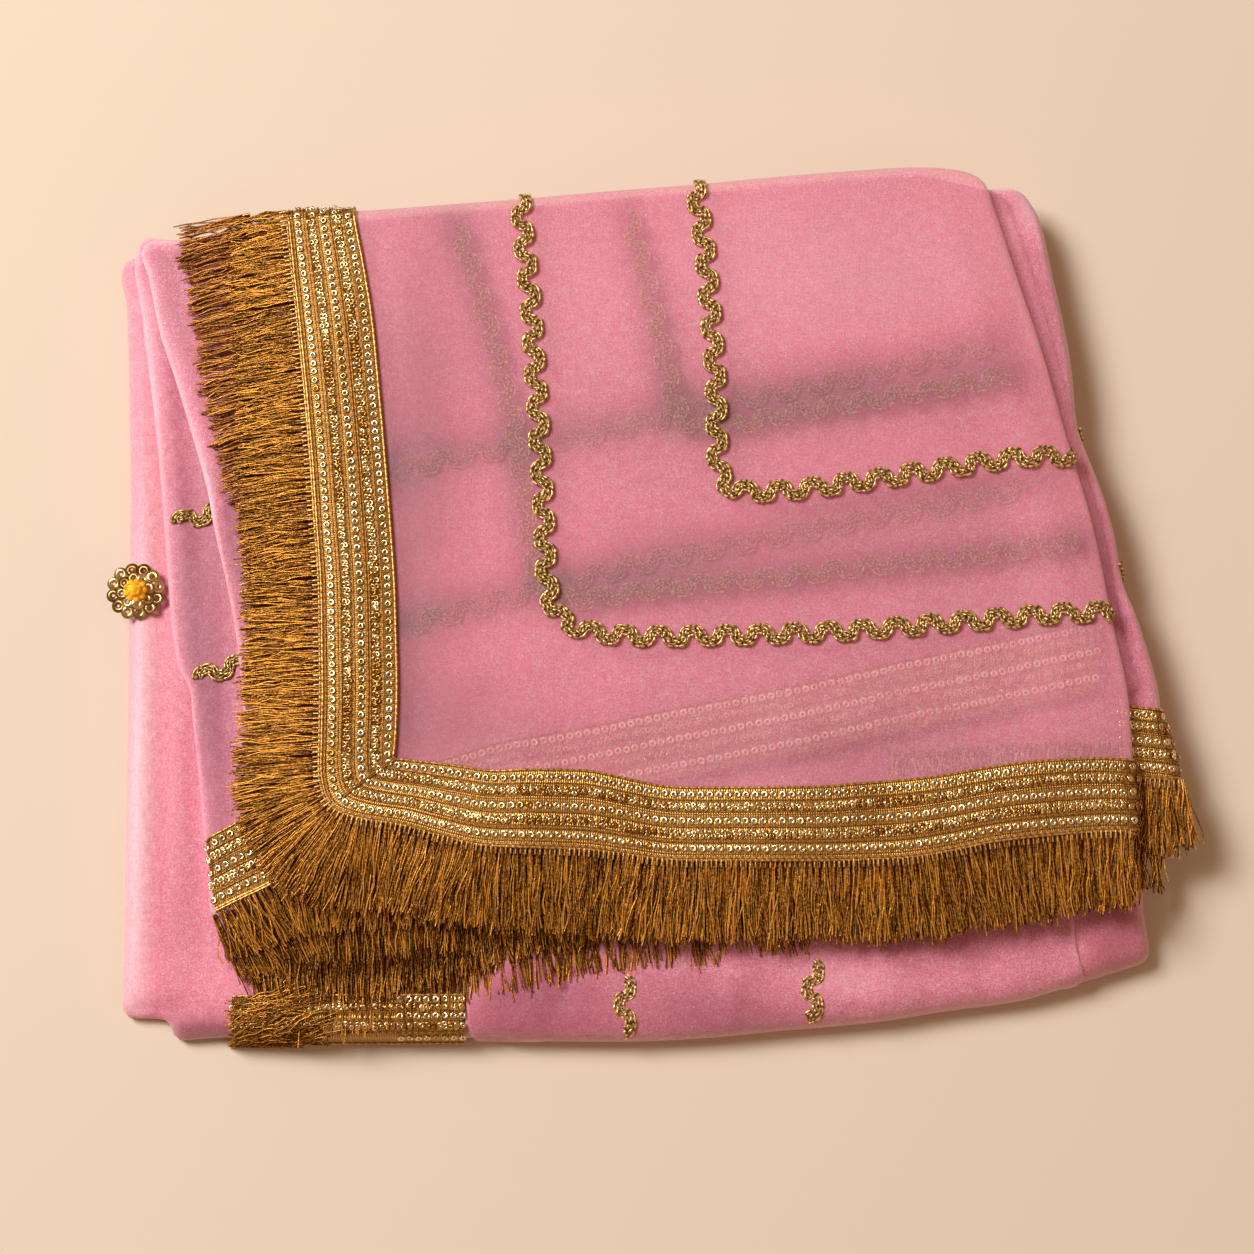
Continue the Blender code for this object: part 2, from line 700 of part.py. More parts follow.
def add_ladder(name, layer, rows, thick, parts, colour, rough, metal, lift):
    """A flat strip laid on a layer, its two edges given by rows."""
    rows = shorten(rows, LADDER_STEP)
    points = []
    wide = parts + 1
    for ox, oy, ix, iy in rows:
        for height in (lift, lift + thick):
            for k in range(wide):
                t = k / parts
                points.append(layer.point(ox + (ix - ox) * t, oy + (iy - oy) * t, height))
    faces = []
    for i in range(len(rows) - 1):
        a, b = i * 2 * wide, (i + 1) * 2 * wide
        for k in range(parts):
            faces.append((a + k, a + k + 1, b + k + 1, b + k))
            faces.append((a + wide + k, b + wide + k, b + wide + k + 1, a + wide + k + 1))
        faces.append((a, b, b + wide, a + wide))
        faces.append((a + parts, a + wide + parts, b + wide + parts, b + parts))
    end = (len(rows) - 1) * 2 * wide
    for k in range(parts):
        faces.append((k, wide + k, wide + k + 1, k + 1))
        faces.append((end + k, end + k + 1, end + wide + k + 1, end + wide + k))
    return add(name, points, faces, colour, rough, metal)


def wave_rows(path, sections):
    """Edges of a wavy braid along a path, the swing dying away at its ends."""
    step = BRAID_WAVE / sections
    spine = smooth_path(path, step)
    last = len(spine) - 1
    middle = []
    for i, p in enumerate(spine):
        along = spine[min(last, i + 1)] - spine[max(0, i - 1)]
        along.normalize()
        swing = BRAID_SWING * math.sin(2.0 * math.pi * i / sections)
        middle.append(Vector((p.x - along.y * swing, p.y + along.x * swing)))
    rows = []
    for i, p in enumerate(middle):
        along = middle[min(last, i + 1)] - middle[max(0, i - 1)]
        along.normalize()
        half = BRAID_BAND / 2.0
        rows.append((p.x + along.y * half, p.y - along.x * half, p.x - along.y * half, p.y + along.x * half))
    return rows


def add_braid(name, layer, path, thick, sections, lift):
    return add_ladder(name, layer, wave_rows(path, sections), thick, 1, BRAID_COLOUR, 0.42, 0.75, lift)


def add_fringe(name, layer, rows, levels, header, pitch=STRAND_PITCH, seed=0.0):
    """A comb: a narrow header and tapering strands that stand apart.

    Levels are heights above the layer's ground form: header, then along the strands.
    """
    path = smooth_path(rows, pitch)
    last = len(path) - 1
    half = header / 2.0
    front = HEADER_GAP + HEADER_WIDTH
    spots = []
    for i in range(last):
        a, b = Vector(path[i]), Vector(path[i + 1])
        along = Vector((b.x - a.x, b.y - a.y))
        share = STRAND_ROOT / pitch
        spots.append(a.lerp(b, 0.5 - share / 2.0))
        spots.append(a.lerp(b, 0.5 + share / 2.0))
    points = []
    faces = []
    count = len(spots)
    outs = []
    for i, p in enumerate(spots):
        a, b = spots[max(0, i - 1)], spots[min(count - 1, i + 1)]
        along = Vector((b.x - a.x, b.y - a.y))
        along.normalize()
        outs.append(Vector((along.y, -along.x)))
    for i, p in enumerate(spots):
        out = outs[i]
        for reach, rise in ((HEADER_GAP, -half), (HEADER_GAP, half), (front, half), (front, -half)):
            x, y = p.x + out.x * reach, p.y + out.y * reach
            points.append(Vector((x, y, ground(x, y) + levels[0] + rise)))
    for i in range(count - 1):
        a, b = 4 * i, 4 * (i + 1)
        faces.append((a, a + 1, b + 1, b))
        faces.append((a + 1, a + 2, b + 2, b + 1))
        faces.append((a + 3, a, b, b + 3))
        if i % 2:
            faces.append((a + 2, a + 3, b + 3, b + 2))
    faces.append((0, 3, 2, 1))
    end = 4 * (count - 1)
    faces.append((end, end + 1, end + 2, end + 3))
    parts = len(levels) - 1
    for k in range(count // 2):
        i = 2 * k
        root = [4 * i + 3, 4 * i + 2, 4 * (i + 1) + 2, 4 * (i + 1) + 3]
        middle = spots[i].lerp(spots[i + 1], 0.5)
        out = (outs[i] + outs[i + 1]).normalized()
        side = Vector((-out.y, out.x))
        length = middle.z * (1.0 + 0.045 * math.sin(2.3 * k + seed))
        lean = 0.9 * math.sin(1.7 * k + seed)
        ring = root
        for part in range(1, parts + 1):
            t = part / parts
            wide = STRAND_ROOT + (STRAND_TIP - STRAND_ROOT) * t
            tall = half * (1.0 - 0.35 * t)
            reach = front + (length - front) * t
            fresh = len(points)
            for across, rise in ((-0.5, -tall), (-0.5, tall), (0.5, tall), (0.5, -tall)):
                x = middle.x + out.x * reach + side.x * (lean * t + across * wide)
                y = middle.y + out.y * reach + side.y * (lean * t + across * wide)
                points.append(Vector((x, y, ground(x, y) + levels[part] + rise)))
            after = [fresh, fresh + 1, fresh + 2, fresh + 3]
            for c in range(4):
                d = (c + 1) % 4
                faces.append((ring[d], ring[c], after[c], after[d]))
            ring = after
        faces.append(tuple(reversed(ring)))
    return add(name, points, faces, FRINGE_COLOUR, 0.45, 0.7)


def add_flower(layer):
    """A flat sequin rosette of two tiers with a bead on it."""
    base = layer.point(FLOWER_X + 5.0, FLOWER_Y).z + 0.4
    steps = FLOWER_PETALS * 4
    tiers = (
        (FLOWER_RADIUS * 0.30, 0.0), (FLOWER_RADIUS * 0.97, 0.3), (FLOWER_RADIUS, 1.0),
        (FLOWER_RADIUS * 0.66, 1.5), (FLOWER_RADIUS * 0.64, 2.1), (FLOWER_RADIUS * 0.30, 2.2),
    )
    points = []
    for size, height in tiers:
        for k in range(steps):
            angle = 2.0 * math.pi * k / steps
            petal = 1.0
            if size > FLOWER_RADIUS * 0.5:
                petal = 0.86 + 0.14 * abs(math.cos(FLOWER_PETALS * angle / 2.0)) ** 0.6
            spot = Vector((math.cos(angle), math.sin(angle), 0.0)) * size * petal
            points.append(spot + Vector((FLOWER_X, FLOWER_Y, base + height)))
    faces = [tuple(reversed(range(steps)))]
    for k in range(len(tiers) - 1):
        band(faces, k * steps, (k + 1) * steps, steps)
    faces.append(tuple(range((len(tiers) - 1) * steps, len(tiers) * steps)))
    add("flower_petals", points, faces, (0.55, 0.35, 0.09), 0.25, 0.9)
    points = []
    around = 12
    for size, height in ((0.8, 0.0), (1.0, 0.7), (0.86, 1.9), (0.5, 2.7)):
        for k in range(around):
            angle = 2.0 * math.pi * k / around
            spot = Vector((math.cos(angle), math.sin(angle), 0.0)) * size * BEAD_RADIUS
            points.append(spot + Vector((FLOWER_X, FLOWER_Y, base + 2.2 + GAP + height)))
    faces = [tuple(reversed(range(around)))]
    for k in range(3):
        band(faces, k * around, (k + 1) * around, around)
    faces.append(tuple(range(3 * around, 4 * around)))
    add("flower_bead", points, faces, (0.90, 0.42, 0.03), 0.2, 0.0)


PINK = (0.83, 0.22, 0.34)
PINK_UNDER = (0.76, 0.20, 0.34)
BORDER_COLOUR = (0.45, 0.27, 0.07)
BRAID_COLOUR = (0.30, 0.20, 0.06)
FRINGE_COLOUR = (0.34, 0.19, 0.04)

for body in list(bpy.data.objects):
    bpy.data.objects.remove(body, do_unlink=True)

core = Layer(CORE_ROWS, CORE_LEVEL, 6.0, step=30.0, share=True)
third = Layer(THIRD_ROWS, THIRD_LEVEL, 3.0, step=36.0)
fold = Layer(FOLD_ROWS, FOLD_LEVEL, 2.0, step=36.0)
second = Layer(SECOND_ROWS, SECOND_LEVEL, 2.5, step=36.0)
top = Layer(TOP_ROWS, TOP_LEVEL, 4.0, step=36.0)

add_core(core, PINK_UNDER)
add_sheet("cloth_third_layer", third, WALL, (90, 55, 0), PINK)
add_sheet("cloth_left_fold", fold, FOLD_WALL, (90, 50, 0), PINK)
add_sheet("cloth_second_layer", second, WALL, (90, 50, 0), PINK)
add_sheet("cloth_top_layer", top, WALL, (90, 60, 30, 0), PINK)

add_ladder("border_top", top, TOP_BORDER, BORDER_THICK, 3, BORDER_COLOUR, 0.3, 0.85, TRIM_LIFT)
add_ladder("border_second", second, SECOND_BORDER, UNDER_THICK, 2, BORDER_COLOUR, 0.3, 0.85, UNDER_LIFT)
add_ladder("border_third", third, THIRD_BORDER, UNDER_THICK, 2, BORDER_COLOUR, 0.3, 0.85, UNDER_LIFT)


def add_lowest_border(layer):
    """A strip that turns over the rounded front edge of the lowest folds."""
    spans = 6
    insets = (13.8, 9.5, 6.0, 3.4, 1.6, 0.5, 0.02)
    points = []
    for i in range(spans + 1):
        x = -139.2 + 75.8 * i / spans
        front = -144.25
        for height in (GAP, GAP + UNDER_THICK):
            for inset in insets:
                points.append(layer.point(x, front + inset, height))
    wide = len(insets)
    faces = []
    for i in range(spans):
        a, b = i * 2 * wide, (i + 1) * 2 * wide
        for k in range(wide - 1):
            faces.append((a + k, b + k, b + k + 1, a + k + 1))
            faces.append((a + wide + k, a + wide + k + 1, b + wide + k + 1, b + wide + k))
        faces.append((a, a + wide, b + wide, b))
        faces.append((a + wide - 1, b + wide - 1, b + 2 * wide - 1, a + 2 * wide - 1))
    end = spans * 2 * wide
    for k in range(wide - 1):
        faces.append((k, k + 1, wide + k + 1, wide + k))
        faces.append((end + k, end + wide + k, end + wide + k + 1, end + k + 1))
    return add("border_lowest", points, faces, BORDER_COLOUR, 0.3, 0.85)


add_lowest_border(core)

add_braid("braid_top_outer", top, TOP_OUTER_BRAID, BRAID_THICK, 5, TRIM_LIFT)
add_braid("braid_top_inner", top, TOP_INNER_BRAID, BRAID_THICK, 5, TRIM_LIFT)
add_braid("braid_second_outer", second, SECOND_OUTER_BRAID, UNDER_THICK, 4, UNDER_LIFT)
add_braid("braid_second_inner", second, SECOND_INNER_BRAID, UNDER_THICK, 4, UNDER_LIFT)
add_braid("braid_third_upper", third, THIRD_UPPER_BRAID, UNDER_THICK, 4, UNDER_LIFT)
add_braid("braid_third_lower", third, THIRD_LOWER_BRAID, UNDER_THICK, 4, UNDER_LIFT)
add_braid("braid_front_left", core, FRONT_LEFT_BRAID, BRAID_THICK, 6, 0.9)
add_braid("braid_front_right", core, FRONT_RIGHT_BRAID, BRAID_THICK, 6, 0.9)

add_fringe("fringe_top", top, TOP_FRINGE, (10.7, 9.9, 9.0), 1.2)
add_fringe("fringe_second", second, SECOND_FRINGE, (8.0, 6.5), 0.8, seed=1.0)
add_fringe("fringe_third_left", third, THIRD_FRINGE, (3.8, 2.4), 0.9, seed=2.0)
add_fringe("fringe_third_right", third, THIRD_RIGHT_FRINGE, (3.8, 2.6), 0.9, pitch=4.6, seed=3.0)
add_fringe("fringe_lower", core, LOWER_FRINGE, (0.95, 0.95), 0.9, pitch=5.2, seed=4.0)
add_fringe("fringe_lower_right", core, LOWER_RIGHT_FRINGE, (0.95, 0.95), 0.9, pitch=3.6, seed=5.0)

add_flower(core)
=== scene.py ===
"""Looks of a sheer pink organza dupatta stole, folded into a flat stack.

Sizes are millimetres until a mesh is made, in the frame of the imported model:
+X to the right of the stack, +Y to its back fold, +Z up through its layers.
The tables below are in the cloth's own plan, which SHIFT moves into the frame.
"""
from __future__ import annotations

import logging
import math
from dataclasses import dataclass, field, replace
from enum import Enum

import bpy
import numpy as np
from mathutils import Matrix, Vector, geometry

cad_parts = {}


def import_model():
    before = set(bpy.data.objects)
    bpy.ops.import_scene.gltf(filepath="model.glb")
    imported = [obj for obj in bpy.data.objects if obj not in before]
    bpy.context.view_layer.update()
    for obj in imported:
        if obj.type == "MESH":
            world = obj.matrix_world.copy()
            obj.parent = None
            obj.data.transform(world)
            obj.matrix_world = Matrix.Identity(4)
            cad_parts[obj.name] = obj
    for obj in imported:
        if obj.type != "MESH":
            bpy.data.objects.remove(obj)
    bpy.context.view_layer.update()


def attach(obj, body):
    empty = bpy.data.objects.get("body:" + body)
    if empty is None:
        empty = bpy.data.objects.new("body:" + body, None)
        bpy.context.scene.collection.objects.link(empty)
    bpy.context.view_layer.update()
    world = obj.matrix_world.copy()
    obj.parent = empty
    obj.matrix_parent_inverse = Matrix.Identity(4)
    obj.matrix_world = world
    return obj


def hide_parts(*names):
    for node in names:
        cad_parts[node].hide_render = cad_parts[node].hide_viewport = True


MM = 0.001
SHIFT = np.array((6.1, -2.4, 0.0))
LOG = logging.getLogger("dupatta_stole")

# Common form of the stack: its height and how far it falls to each side
STACK_HEIGHT = 18.0
LEFT_FALL = 9.0
FRONT_FALL = 6.0
CORNER_RELIEF = 4.0
RIGHT_FALL = 2.0
BACK_FALL = 2.0

# Rings of corners over a rounded edge, as shares of its radius inside the outline
EDGE_RINGS = (0.03, 0.12, 0.27, 0.46, 0.7, 1.0)
# A plan x that lies left of the whole stack
NOWHERE = -1000.0
# The row of the top border's ladder where the ribbon is folded round the corner
TOP_MITRE = 12

Rows = tuple[tuple[float, ...], ...]
Faces = list[tuple[int, ...]]


class Slot(Enum):
    """The record's material slots."""

    CLOTH = "organza"
    FOLDS = "organza_under"
    LACE = "sequin_lace"
    BRAID = "gold_braid"
    THREAD = "gold_thread"
    PETAL = "sequin_gold"
    BEAD = "bead_amber"


def outline(*sides: tuple[float, Rows]) -> Rows:
    """Rows of an outline.

    Args:
        sides: Each with its fold drop and its points' x and y.

    Returns:
        A row of x, y and fold drop for each point.
    """
    return tuple((x, y, drop) for drop, spots in sides for x, y in spots)


# Outlines of the layers from the lowest up, anticlockwise from the back left corner:
# fold drop, then x and y of the points that share it
CORE_ROWS = outline(
    (0.6, (
        (-183.2, 121.8), (-182.2, 106), (-180.9, 86), (-179.8, 64), (-178.9, 41.5), (-178.4, 20),
        (-178, -5), (-177.4, -31.5), (-177, -58), (-176.7, -85.5), (-176.4, -112), (-176.3, -128),
        (-176, -135.4), (-174.2, -137.4), (-168, -137.8), (-162.6, -138.2),
    )),
    (0.62, ((-160.2, -140.2), (-159.4, -143), (-157.4, -144.8), (-148, -144.3))),
    (0.64, (
        (-139.6, -144), (-115, -144.4), (-90, -144.3), (-63.1, -144.2), (-35, -144.6), (-5.4, -144.6),
        (18, -143.4), (40.8, -141.2), (60, -139.6), (76.2, -137.9), (94, -135), (120.6, -131.4),
        (141.2, -126),
    )),
    (0.62, ((156, -121.4), (161.4, -119.4), (163, -116.6))),
    (0.6, (
        (162.4, -110), (161.3, -101.3), (163, -80), (166, -58), (164.5, -38), (160, -16), (153, 5),
        (149.5, 25), (142, 45), (138.4, 64), (136.6, 85), (132.4, 110), (128.6, 130), (121, 141),
        (105, 144), (90, 145.8), (66.2, 144.4), (40.7, 142.3), (15.1, 139.8), (-15.5, 137.3),
        (-46.1, 134.4), (-73.2, 132.3), (-100.4, 129.9), (-127, 129.3), (-150, 127),
    )),
    (0.58, ((-167, 124.5),)),
)
THIRD_ROWS = outline(
    (2.3, (
        (-178, 127.4), (-175.6, 99.2), (-172.6, 79), (-169.9, 60.3), (-167.5, 40), (-165.4, 20.3),
        (-163, -3.5), (-159.8, -21.6), (-155.8, -29.1), (-154.5, -39.9), (-152.6, -54),
    )),
    (2.2, ((-151.1, -66.8),)),
    (1.8, ((-149.6, -79.4),)),
    (1.4, ((-147.4, -92),)),
    (0.8, ((-145.6, -104.6),)),
    (0, (
        (-133, -98.4), (-118, -92.2), (-95, -90.4), (-60, -89.3), (-30, -86.6), (0, -83.2), (27, -79.8),
        (54, -75.8), (78, -71.4), (102, -67.2), (131, -61.7), (150, -59.8), (168.4, -61.3),
    )),
    (2.4, ((172.6, -61.6),)),
    (3, ((171, -49.1),)),
    (4, ((168, -37.7),)),
    (5, (
        (167, -28.6), (164.1, -16.5), (160.4, -4.3), (156.6, 5.6), (155.3, 14.5), (153.6, 25),
        (150, 38.9), (146.2, 49.6), (143.4, 58), (142.2, 66), (141.2, 81.7), (138.8, 98), (135.9, 113.4),
        (133, 129.9),
    )),
    (4.6, ((130, 138),)),
    (4.4, ((124.4, 144.6),)),
    (4.6, ((113, 144.8),)),
    (5, (
        (104, 147.2), (90.1, 149.4), (66.2, 148), (40.7, 145.9), (15.1, 143.4), (-15.5, 140.9),
        (-46.1, 138), (-73.2, 135.9), (-100.4, 133.5), (-127, 132.9),
    )),
    (4.4, ((-150, 130.9),)),
    (3.4, ((-165, 128.9),)),
)
FOLD_ROWS = outline(
    (1, (
        (-175.6, 125.6), (-173.4, 113.6), (-168.9, 93.5), (-163.6, 78.5), (-157.2, 58.7), (-151.2, 38.8),
        (-148.4, 25), (-144.6, 9.6), (-141.2, -5.8), (-139.2, -18), (-137.5, -31.7), (-135.7, -49.5),
        (-133.4, -64),
    )),
    (0, ((-118, -66), (-101, -62), (-98, -30), (-97, 0), (-98, 35), (-101, 70), (-105, 105))),
    (1, ((-108, 130.6), (-127, 130.2), (-146, 128.6), (-162, 127))),
)
SECOND_ROWS = outline(
    (3.2, ((-138.4, 132.4),)),
    (0, (
        (-137.5, 127.6), (-134, 113), (-129.6, 91), (-125.2, 68), (-119, 46), (-113, 26), (-109, 5),
        (-107, -18), (-105.5, -40), (-104, -60), (-98, -76.4), (-80, -77.6), (-52, -73.6), (-31.7, -69.4),
        (-2.1, -62.8), (27.4, -57.2), (53.8, -51.7), (77.9, -46), (101.8, -41.1), (126.1, -35.7),
        (144.8, -31.6),
    )),
    (2.8, ((158.4, -30.4),)),
    (3.4, (
        (156.8, -20), (154.5, -9), (152.4, 3), (150.2, 18), (147.4, 31), (143.4, 46), (140.8, 57),
        (138.2, 70), (134.8, 86), (131, 102), (126.5, 118), (121.8, 134), (117.6, 141.6), (110.6, 142.8),
        (103.6, 146.2), (90.1, 148.4), (66.2, 146.9), (40.7, 144.8), (15.1, 142.3), (-15.5, 139.8),
        (-46.1, 136.9), (-73.2, 134.8), (-100.4, 132.5), (-118, 132.2),
    )),
)
TOP_ROWS = outline(
    (2.2, ((-125.4, 134.2),)),
    (0, (
        (-124.9, 128.6), (-123.3, 113.9), (-120.8, 94.9), (-117.8, 70.3), (-115.3, 46), (-113.6, 25.4),
        (-111.8, 5), (-111.1, -15.3), (-110.6, -33.3), (-110.6, -50), (-110.2, -62), (-106.8, -70.2),
        (-98, -74.2), (-83.7, -76.6), (-70.6, -80.2), (-57.6, -83.1), (-39.7, -84), (-22.4, -84.7),
        (-9.4, -86.3), (3.6, -87.9), (28.4, -88.2), (53.1, -88.2), (67.8, -87.9), (81.5, -87.3),
        (95.5, -85), (110.3, -82), (127, -80), (143.7, -78.6), (151.6, -78.4),
    )),
    (2.2, (
        (156.8, -78.4), (156.6, -58.2), (156, -38.2), (154.7, -25.9), (152.3, -14), (150.2, -2),
        (147.8, 13), (145.1, 26.9), (141, 42.7), (137.6, 55), (133.7, 70.6), (129.1, 88.4),
        (124.2, 104.7), (119.5, 121), (115.2, 135.7), (112, 144.6),
    )),
    (3.6, ((105, 148.8),)),
    (6, (
        (90.1, 150.6), (66.2, 149.1), (40.7, 147), (15.1, 144.5), (-15.5, 142), (-46.1, 139.1),
        (-73.2, 137),
    )),
    (4.2, ((-100.4, 134.7),)),
)

# Ladders of the borders: outer x, outer y, inner x, inner y
TOP_BORDER: Rows = (
    (-125.9, 134.4, -102.3, 137.4), (-125.3, 129.4, -101.8, 130.6), (-123.5, 113.9, -98.5, 114.1),
    (-121, 94.9, -95.1, 94.1), (-118, 70.3, -92.4, 69.7), (-115.5, 46, -90, 45.5),
    (-113.8, 25.4, -88.1, 25.4), (-112, 5, -86.4, 5), (-111.3, -15.3, -85.6, -13),
    (-110.8, -33.3, -85, -31), (-110.8, -50, -85.2, -45), (-110.4, -62, -85.5, -51),
    (-107, -70.4, -85.7, -54.5), (-98, -74.4, -82, -55), (-83.7, -76.8, -74, -56),
    (-70.6, -80.4, -64.5, -57.2), (-57.6, -83.3, -54, -58.8), (-39.7, -84.2, -37.8, -58.6),
    (-22.4, -84.9, -22.4, -58.8), (-9.4, -86.5, -9.4, -61.4), (3.6, -88.1, 3.7, -63.8),
    (28.4, -88.4, 28.5, -64.4), (53.1, -88.4, 53, -64.2), (67.8, -88.1, 66.6, -62.8),
    (81.5, -87.5, 79.4, -61.8), (95.5, -85.2, 92.8, -60.4), (110.3, -82.2, 107.8, -57.8),
    (127, -80.2, 125.4, -55.6), (143.7, -78.8, 142.8, -54.5), (151.8, -78.6, 151.6, -54.7),
    (156.6, -78.6, 156.4, -54.8), (158.6, -78.6, 158.3, -54.9),
)
SECOND_BORDER: Rows = (
    (-97, -75.4, -91, -57), (-80, -77.2, -76, -56), (-52, -73.2, -51, -48.6), (-31.7, -69, -27, -44.4),
    (-2.1, -62.4, 3.4, -38), (27.4, -56.8, 32.4, -32.4), (53.8, -51.3, 59, -26.8),
    (77.9, -45.6, 83, -21.2), (101.8, -40.7, 107, -16.2), (126.1, -35.3, 130.4, -11),
    (144.8, -31.2, 147, -7.4),
)
THIRD_LEFT_BORDER: Rows = (
    (-145, -103.6, -148.4, -80), (-143, -102.6, -146.4, -78.4), (-133, -98, -137, -73.6),
    (-118, -91.8, -121, -68), (-100, -90.4, -101, -66.4),
)
THIRD_BORDER: Rows = (
    (154.5, -59.8, 153.4, -35.7), (160, -60.2, 157, -36), (168, -60.8, 163.4, -36.8),
    (172.4, -61.2, 168, -37.2), (173.8, -61.3, 169.4, -37.4),
)

# Paths of the braids: x, y
TOP_OUTER_BRAID: Rows = (
    (-46, 139), (-45.9, 137), (-44.6, 120.9), (-42.4, 101.4), (-40.5, 75), (-38.7, 49.1), (-37.3, 25.2),
    (-36.2, 4), (-33.4, -5.6), (-26.9, -11), (-15.3, -13.4), (-2.1, -14.2), (30.9, -13.7), (63.9, -12.4),
    (88.6, -10.4), (113.5, -8.1), (131.8, -6.4), (148.8, -5.6), (150.9, -5.6),
)
TOP_INNER_BRAID: Rows = (
    (13.4, 144.2), (13.5, 142), (15.1, 130), (16.7, 117), (18.6, 92.5), (20.1, 66.3), (20.6, 45),
    (22.9, 37.8), (29, 35.2), (41.2, 35.2), (61.2, 37.5), (81.2, 40.5), (98, 43.2), (114.8, 45.9),
    (128.2, 47), (137.5, 47.2), (139.6, 47.2),
)
SECOND_OUTER_BRAID: Rows = (
    (-67.6, 127.6), (-62.2, 112.8), (-55.9, 91.5), (-50.6, 70.5), (-46.9, 56.6), (-43.6, 30),
    (-40.6, 12.1), (-36, 1.9), (-27.3, -1.3), (-15.3, 0), (14.5, 3.8), (41.7, 6.4), (69, 9.7),
    (105.6, 13.8), (124.1, 16.4), (141, 18.6),
)
SECOND_INNER_BRAID: Rows = (
    (-9.2, 132.4), (-5.3, 118.2), (-0.3, 96.8), (4.1, 75.7), (7.4, 64), (12.6, 57.6), (21.8, 57.6),
    (34.9, 60.1), (55, 64.2), (81.9, 68.4), (102.2, 72.4), (120.8, 76.3),
)
THIRD_UPPER_BRAID: Rows = (
    (-161.5, 27.6), (-149.8, 31), (-120, 37.6), (-87.8, 43.5), (-60.1, 49.6), (-32.5, 54.2), (-5.3, 59.8),
    (28.4, 68.1), (48.6, 72.3), (68.9, 76.8), (89.2, 81.4), (113.1, 87.6),
)
THIRD_LOWER_BRAID: Rows = (
    (-152.8, -25.8), (-142, -22), (-112, -15.8), (-83.7, -9.4), (-59.6, -3), (-37, 3.6), (-3, 12.2),
    (34, 19.8), (69.5, 27), (106.5, 34), (125.1, 38.3),
)
FRONT_LEFT_BRAID: Rows = ((-10.4, -125.6), (-10.4, -138.6), (-10.4, -142.4))
FRONT_VEILED_BRAID: Rows = ((18, -104), (18.2, -125.7), (18.2, -141.6))
FRONT_RIGHT_BRAID: Rows = ((51.4, -120.4), (50.9, -134.2), (50.8, -138.2))

# Turns of two hidden braids over the right folds: x, y
RIGHT_UPPER_BIT: Rows = ((143.6, 60), (144.4, 58), (145.2, 56.4))
RIGHT_LOWER_BIT: Rows = ((155.2, 13), (156.8, 10.6), (158, 7.8))

# Roots of the fringes: x, y, strand length
TOP_FRINGE: Rows = (
    (-126, 133.6, 19), (-123.5, 113.9, 20.5), (-121, 94.9, 22), (-118, 70.3, 23), (-115.5, 46, 24),
    (-113.8, 25.4, 24.5), (-112, 5, 25), (-111.3, -15.3, 25.5), (-110.8, -33.3, 26), (-110.8, -50, 27),
    (-110.2, -62, 28.5), (-108.6, -67.6, 29.5), (-104.6, -72.2, 29.5), (-98, -74.8, 28.5),
    (-83.7, -77, 27), (-70.6, -80.6, 26), (-57.6, -83.4, 25.5), (-39.7, -84.4, 26), (-22.4, -85.1, 26),
    (-9.4, -86.7, 25.5), (3.6, -88.3, 24.8), (28.4, -88.6, 24.5), (53.1, -88.6, 24.5),
    (67.8, -88.3, 24.8), (81.5, -87.7, 25), (95.5, -85.4, 25.5), (110.3, -82.4, 26), (127, -80.4, 25),
    (143.7, -79, 24), (154.6, -78.8, 23.5),
)
SECOND_FRINGE: Rows = (
    (-139, 134.4, 24), (-138, 129, 25), (-134.2, 113, 25), (-129.8, 91, 25.5), (-125.4, 68, 26),
    (-119.2, 46, 26), (-113.2, 26, 26), (-109.8, 10, 25),
)
THIRD_FRINGE: Rows = (
    (-145, -105, 24), (-133, -99, 25), (-118, -92.8, 26.5), (-95, -90.8, 27), (-60, -89.7, 26),
    (-30, -87, 25.5), (0, -83.6, 25.5), (12, -82, 25),
)
THIRD_RIGHT_FRINGE: Rows = ((158, -60.4, 23), (166, -61.4, 22.5), (173.6, -61.2, 22))
VEILED_FRINGE: Rows = ((78, -52.6, 7), (104, -50.2, 7.5), (136, -48.6, 7.5), (152, -48.8, 7.5))
LOWER_FRINGE: Rows = (
    (-136, -106, 30), (-124, -103, 36), (-98, -103, 38), (-74.4, -103, 33.5), (-31.7, -100.2, 24),
    (7.7, -96.4, 24), (47.2, -92.4, 24),
)
LOWER_RIGHT_FRINGE: Rows = ((158.4, -72, 24), (165.6, -72, 23.5))

# The lowest border turns over the front edge of the folds: front x, front y, inner x, inner y
LOWEST_BORDER: Rows = (
    (-139.2, -146, -139.2, -130.8), (-122, -146, -122, -130.8), (-102, -145.8, -102, -130.6),
    (-82, -145.8, -82, -130.6), (-63.4, -145.6, -63.6, -130.4),
)

# Outline of the lowest turn of cloth along the front
FRONT_TURN = outline(
    (0, (
        (-60, -145), (-35, -145.2), (-5.4, -145.2), (18, -144), (40.8, -141.8), (60, -140.2),
        (76.2, -138.5), (94, -135.6), (120.6, -131.6), (132, -128.4), (140.2, -125.7), (139, -119),
        (137.9, -112.5), (136.8, -104), (134, -96), (100, -92), (40, -92), (-20, -94), (-58, -97),
        (-61, -120),
    )),
)


def ease(t: np.ndarray) -> np.ndarray:
    """Smooth step from 0 to 1, for values clipped to that range."""
    t = np.clip(t, 0.0, 1.0)
    return t * t * (3.0 - 2.0 * t)


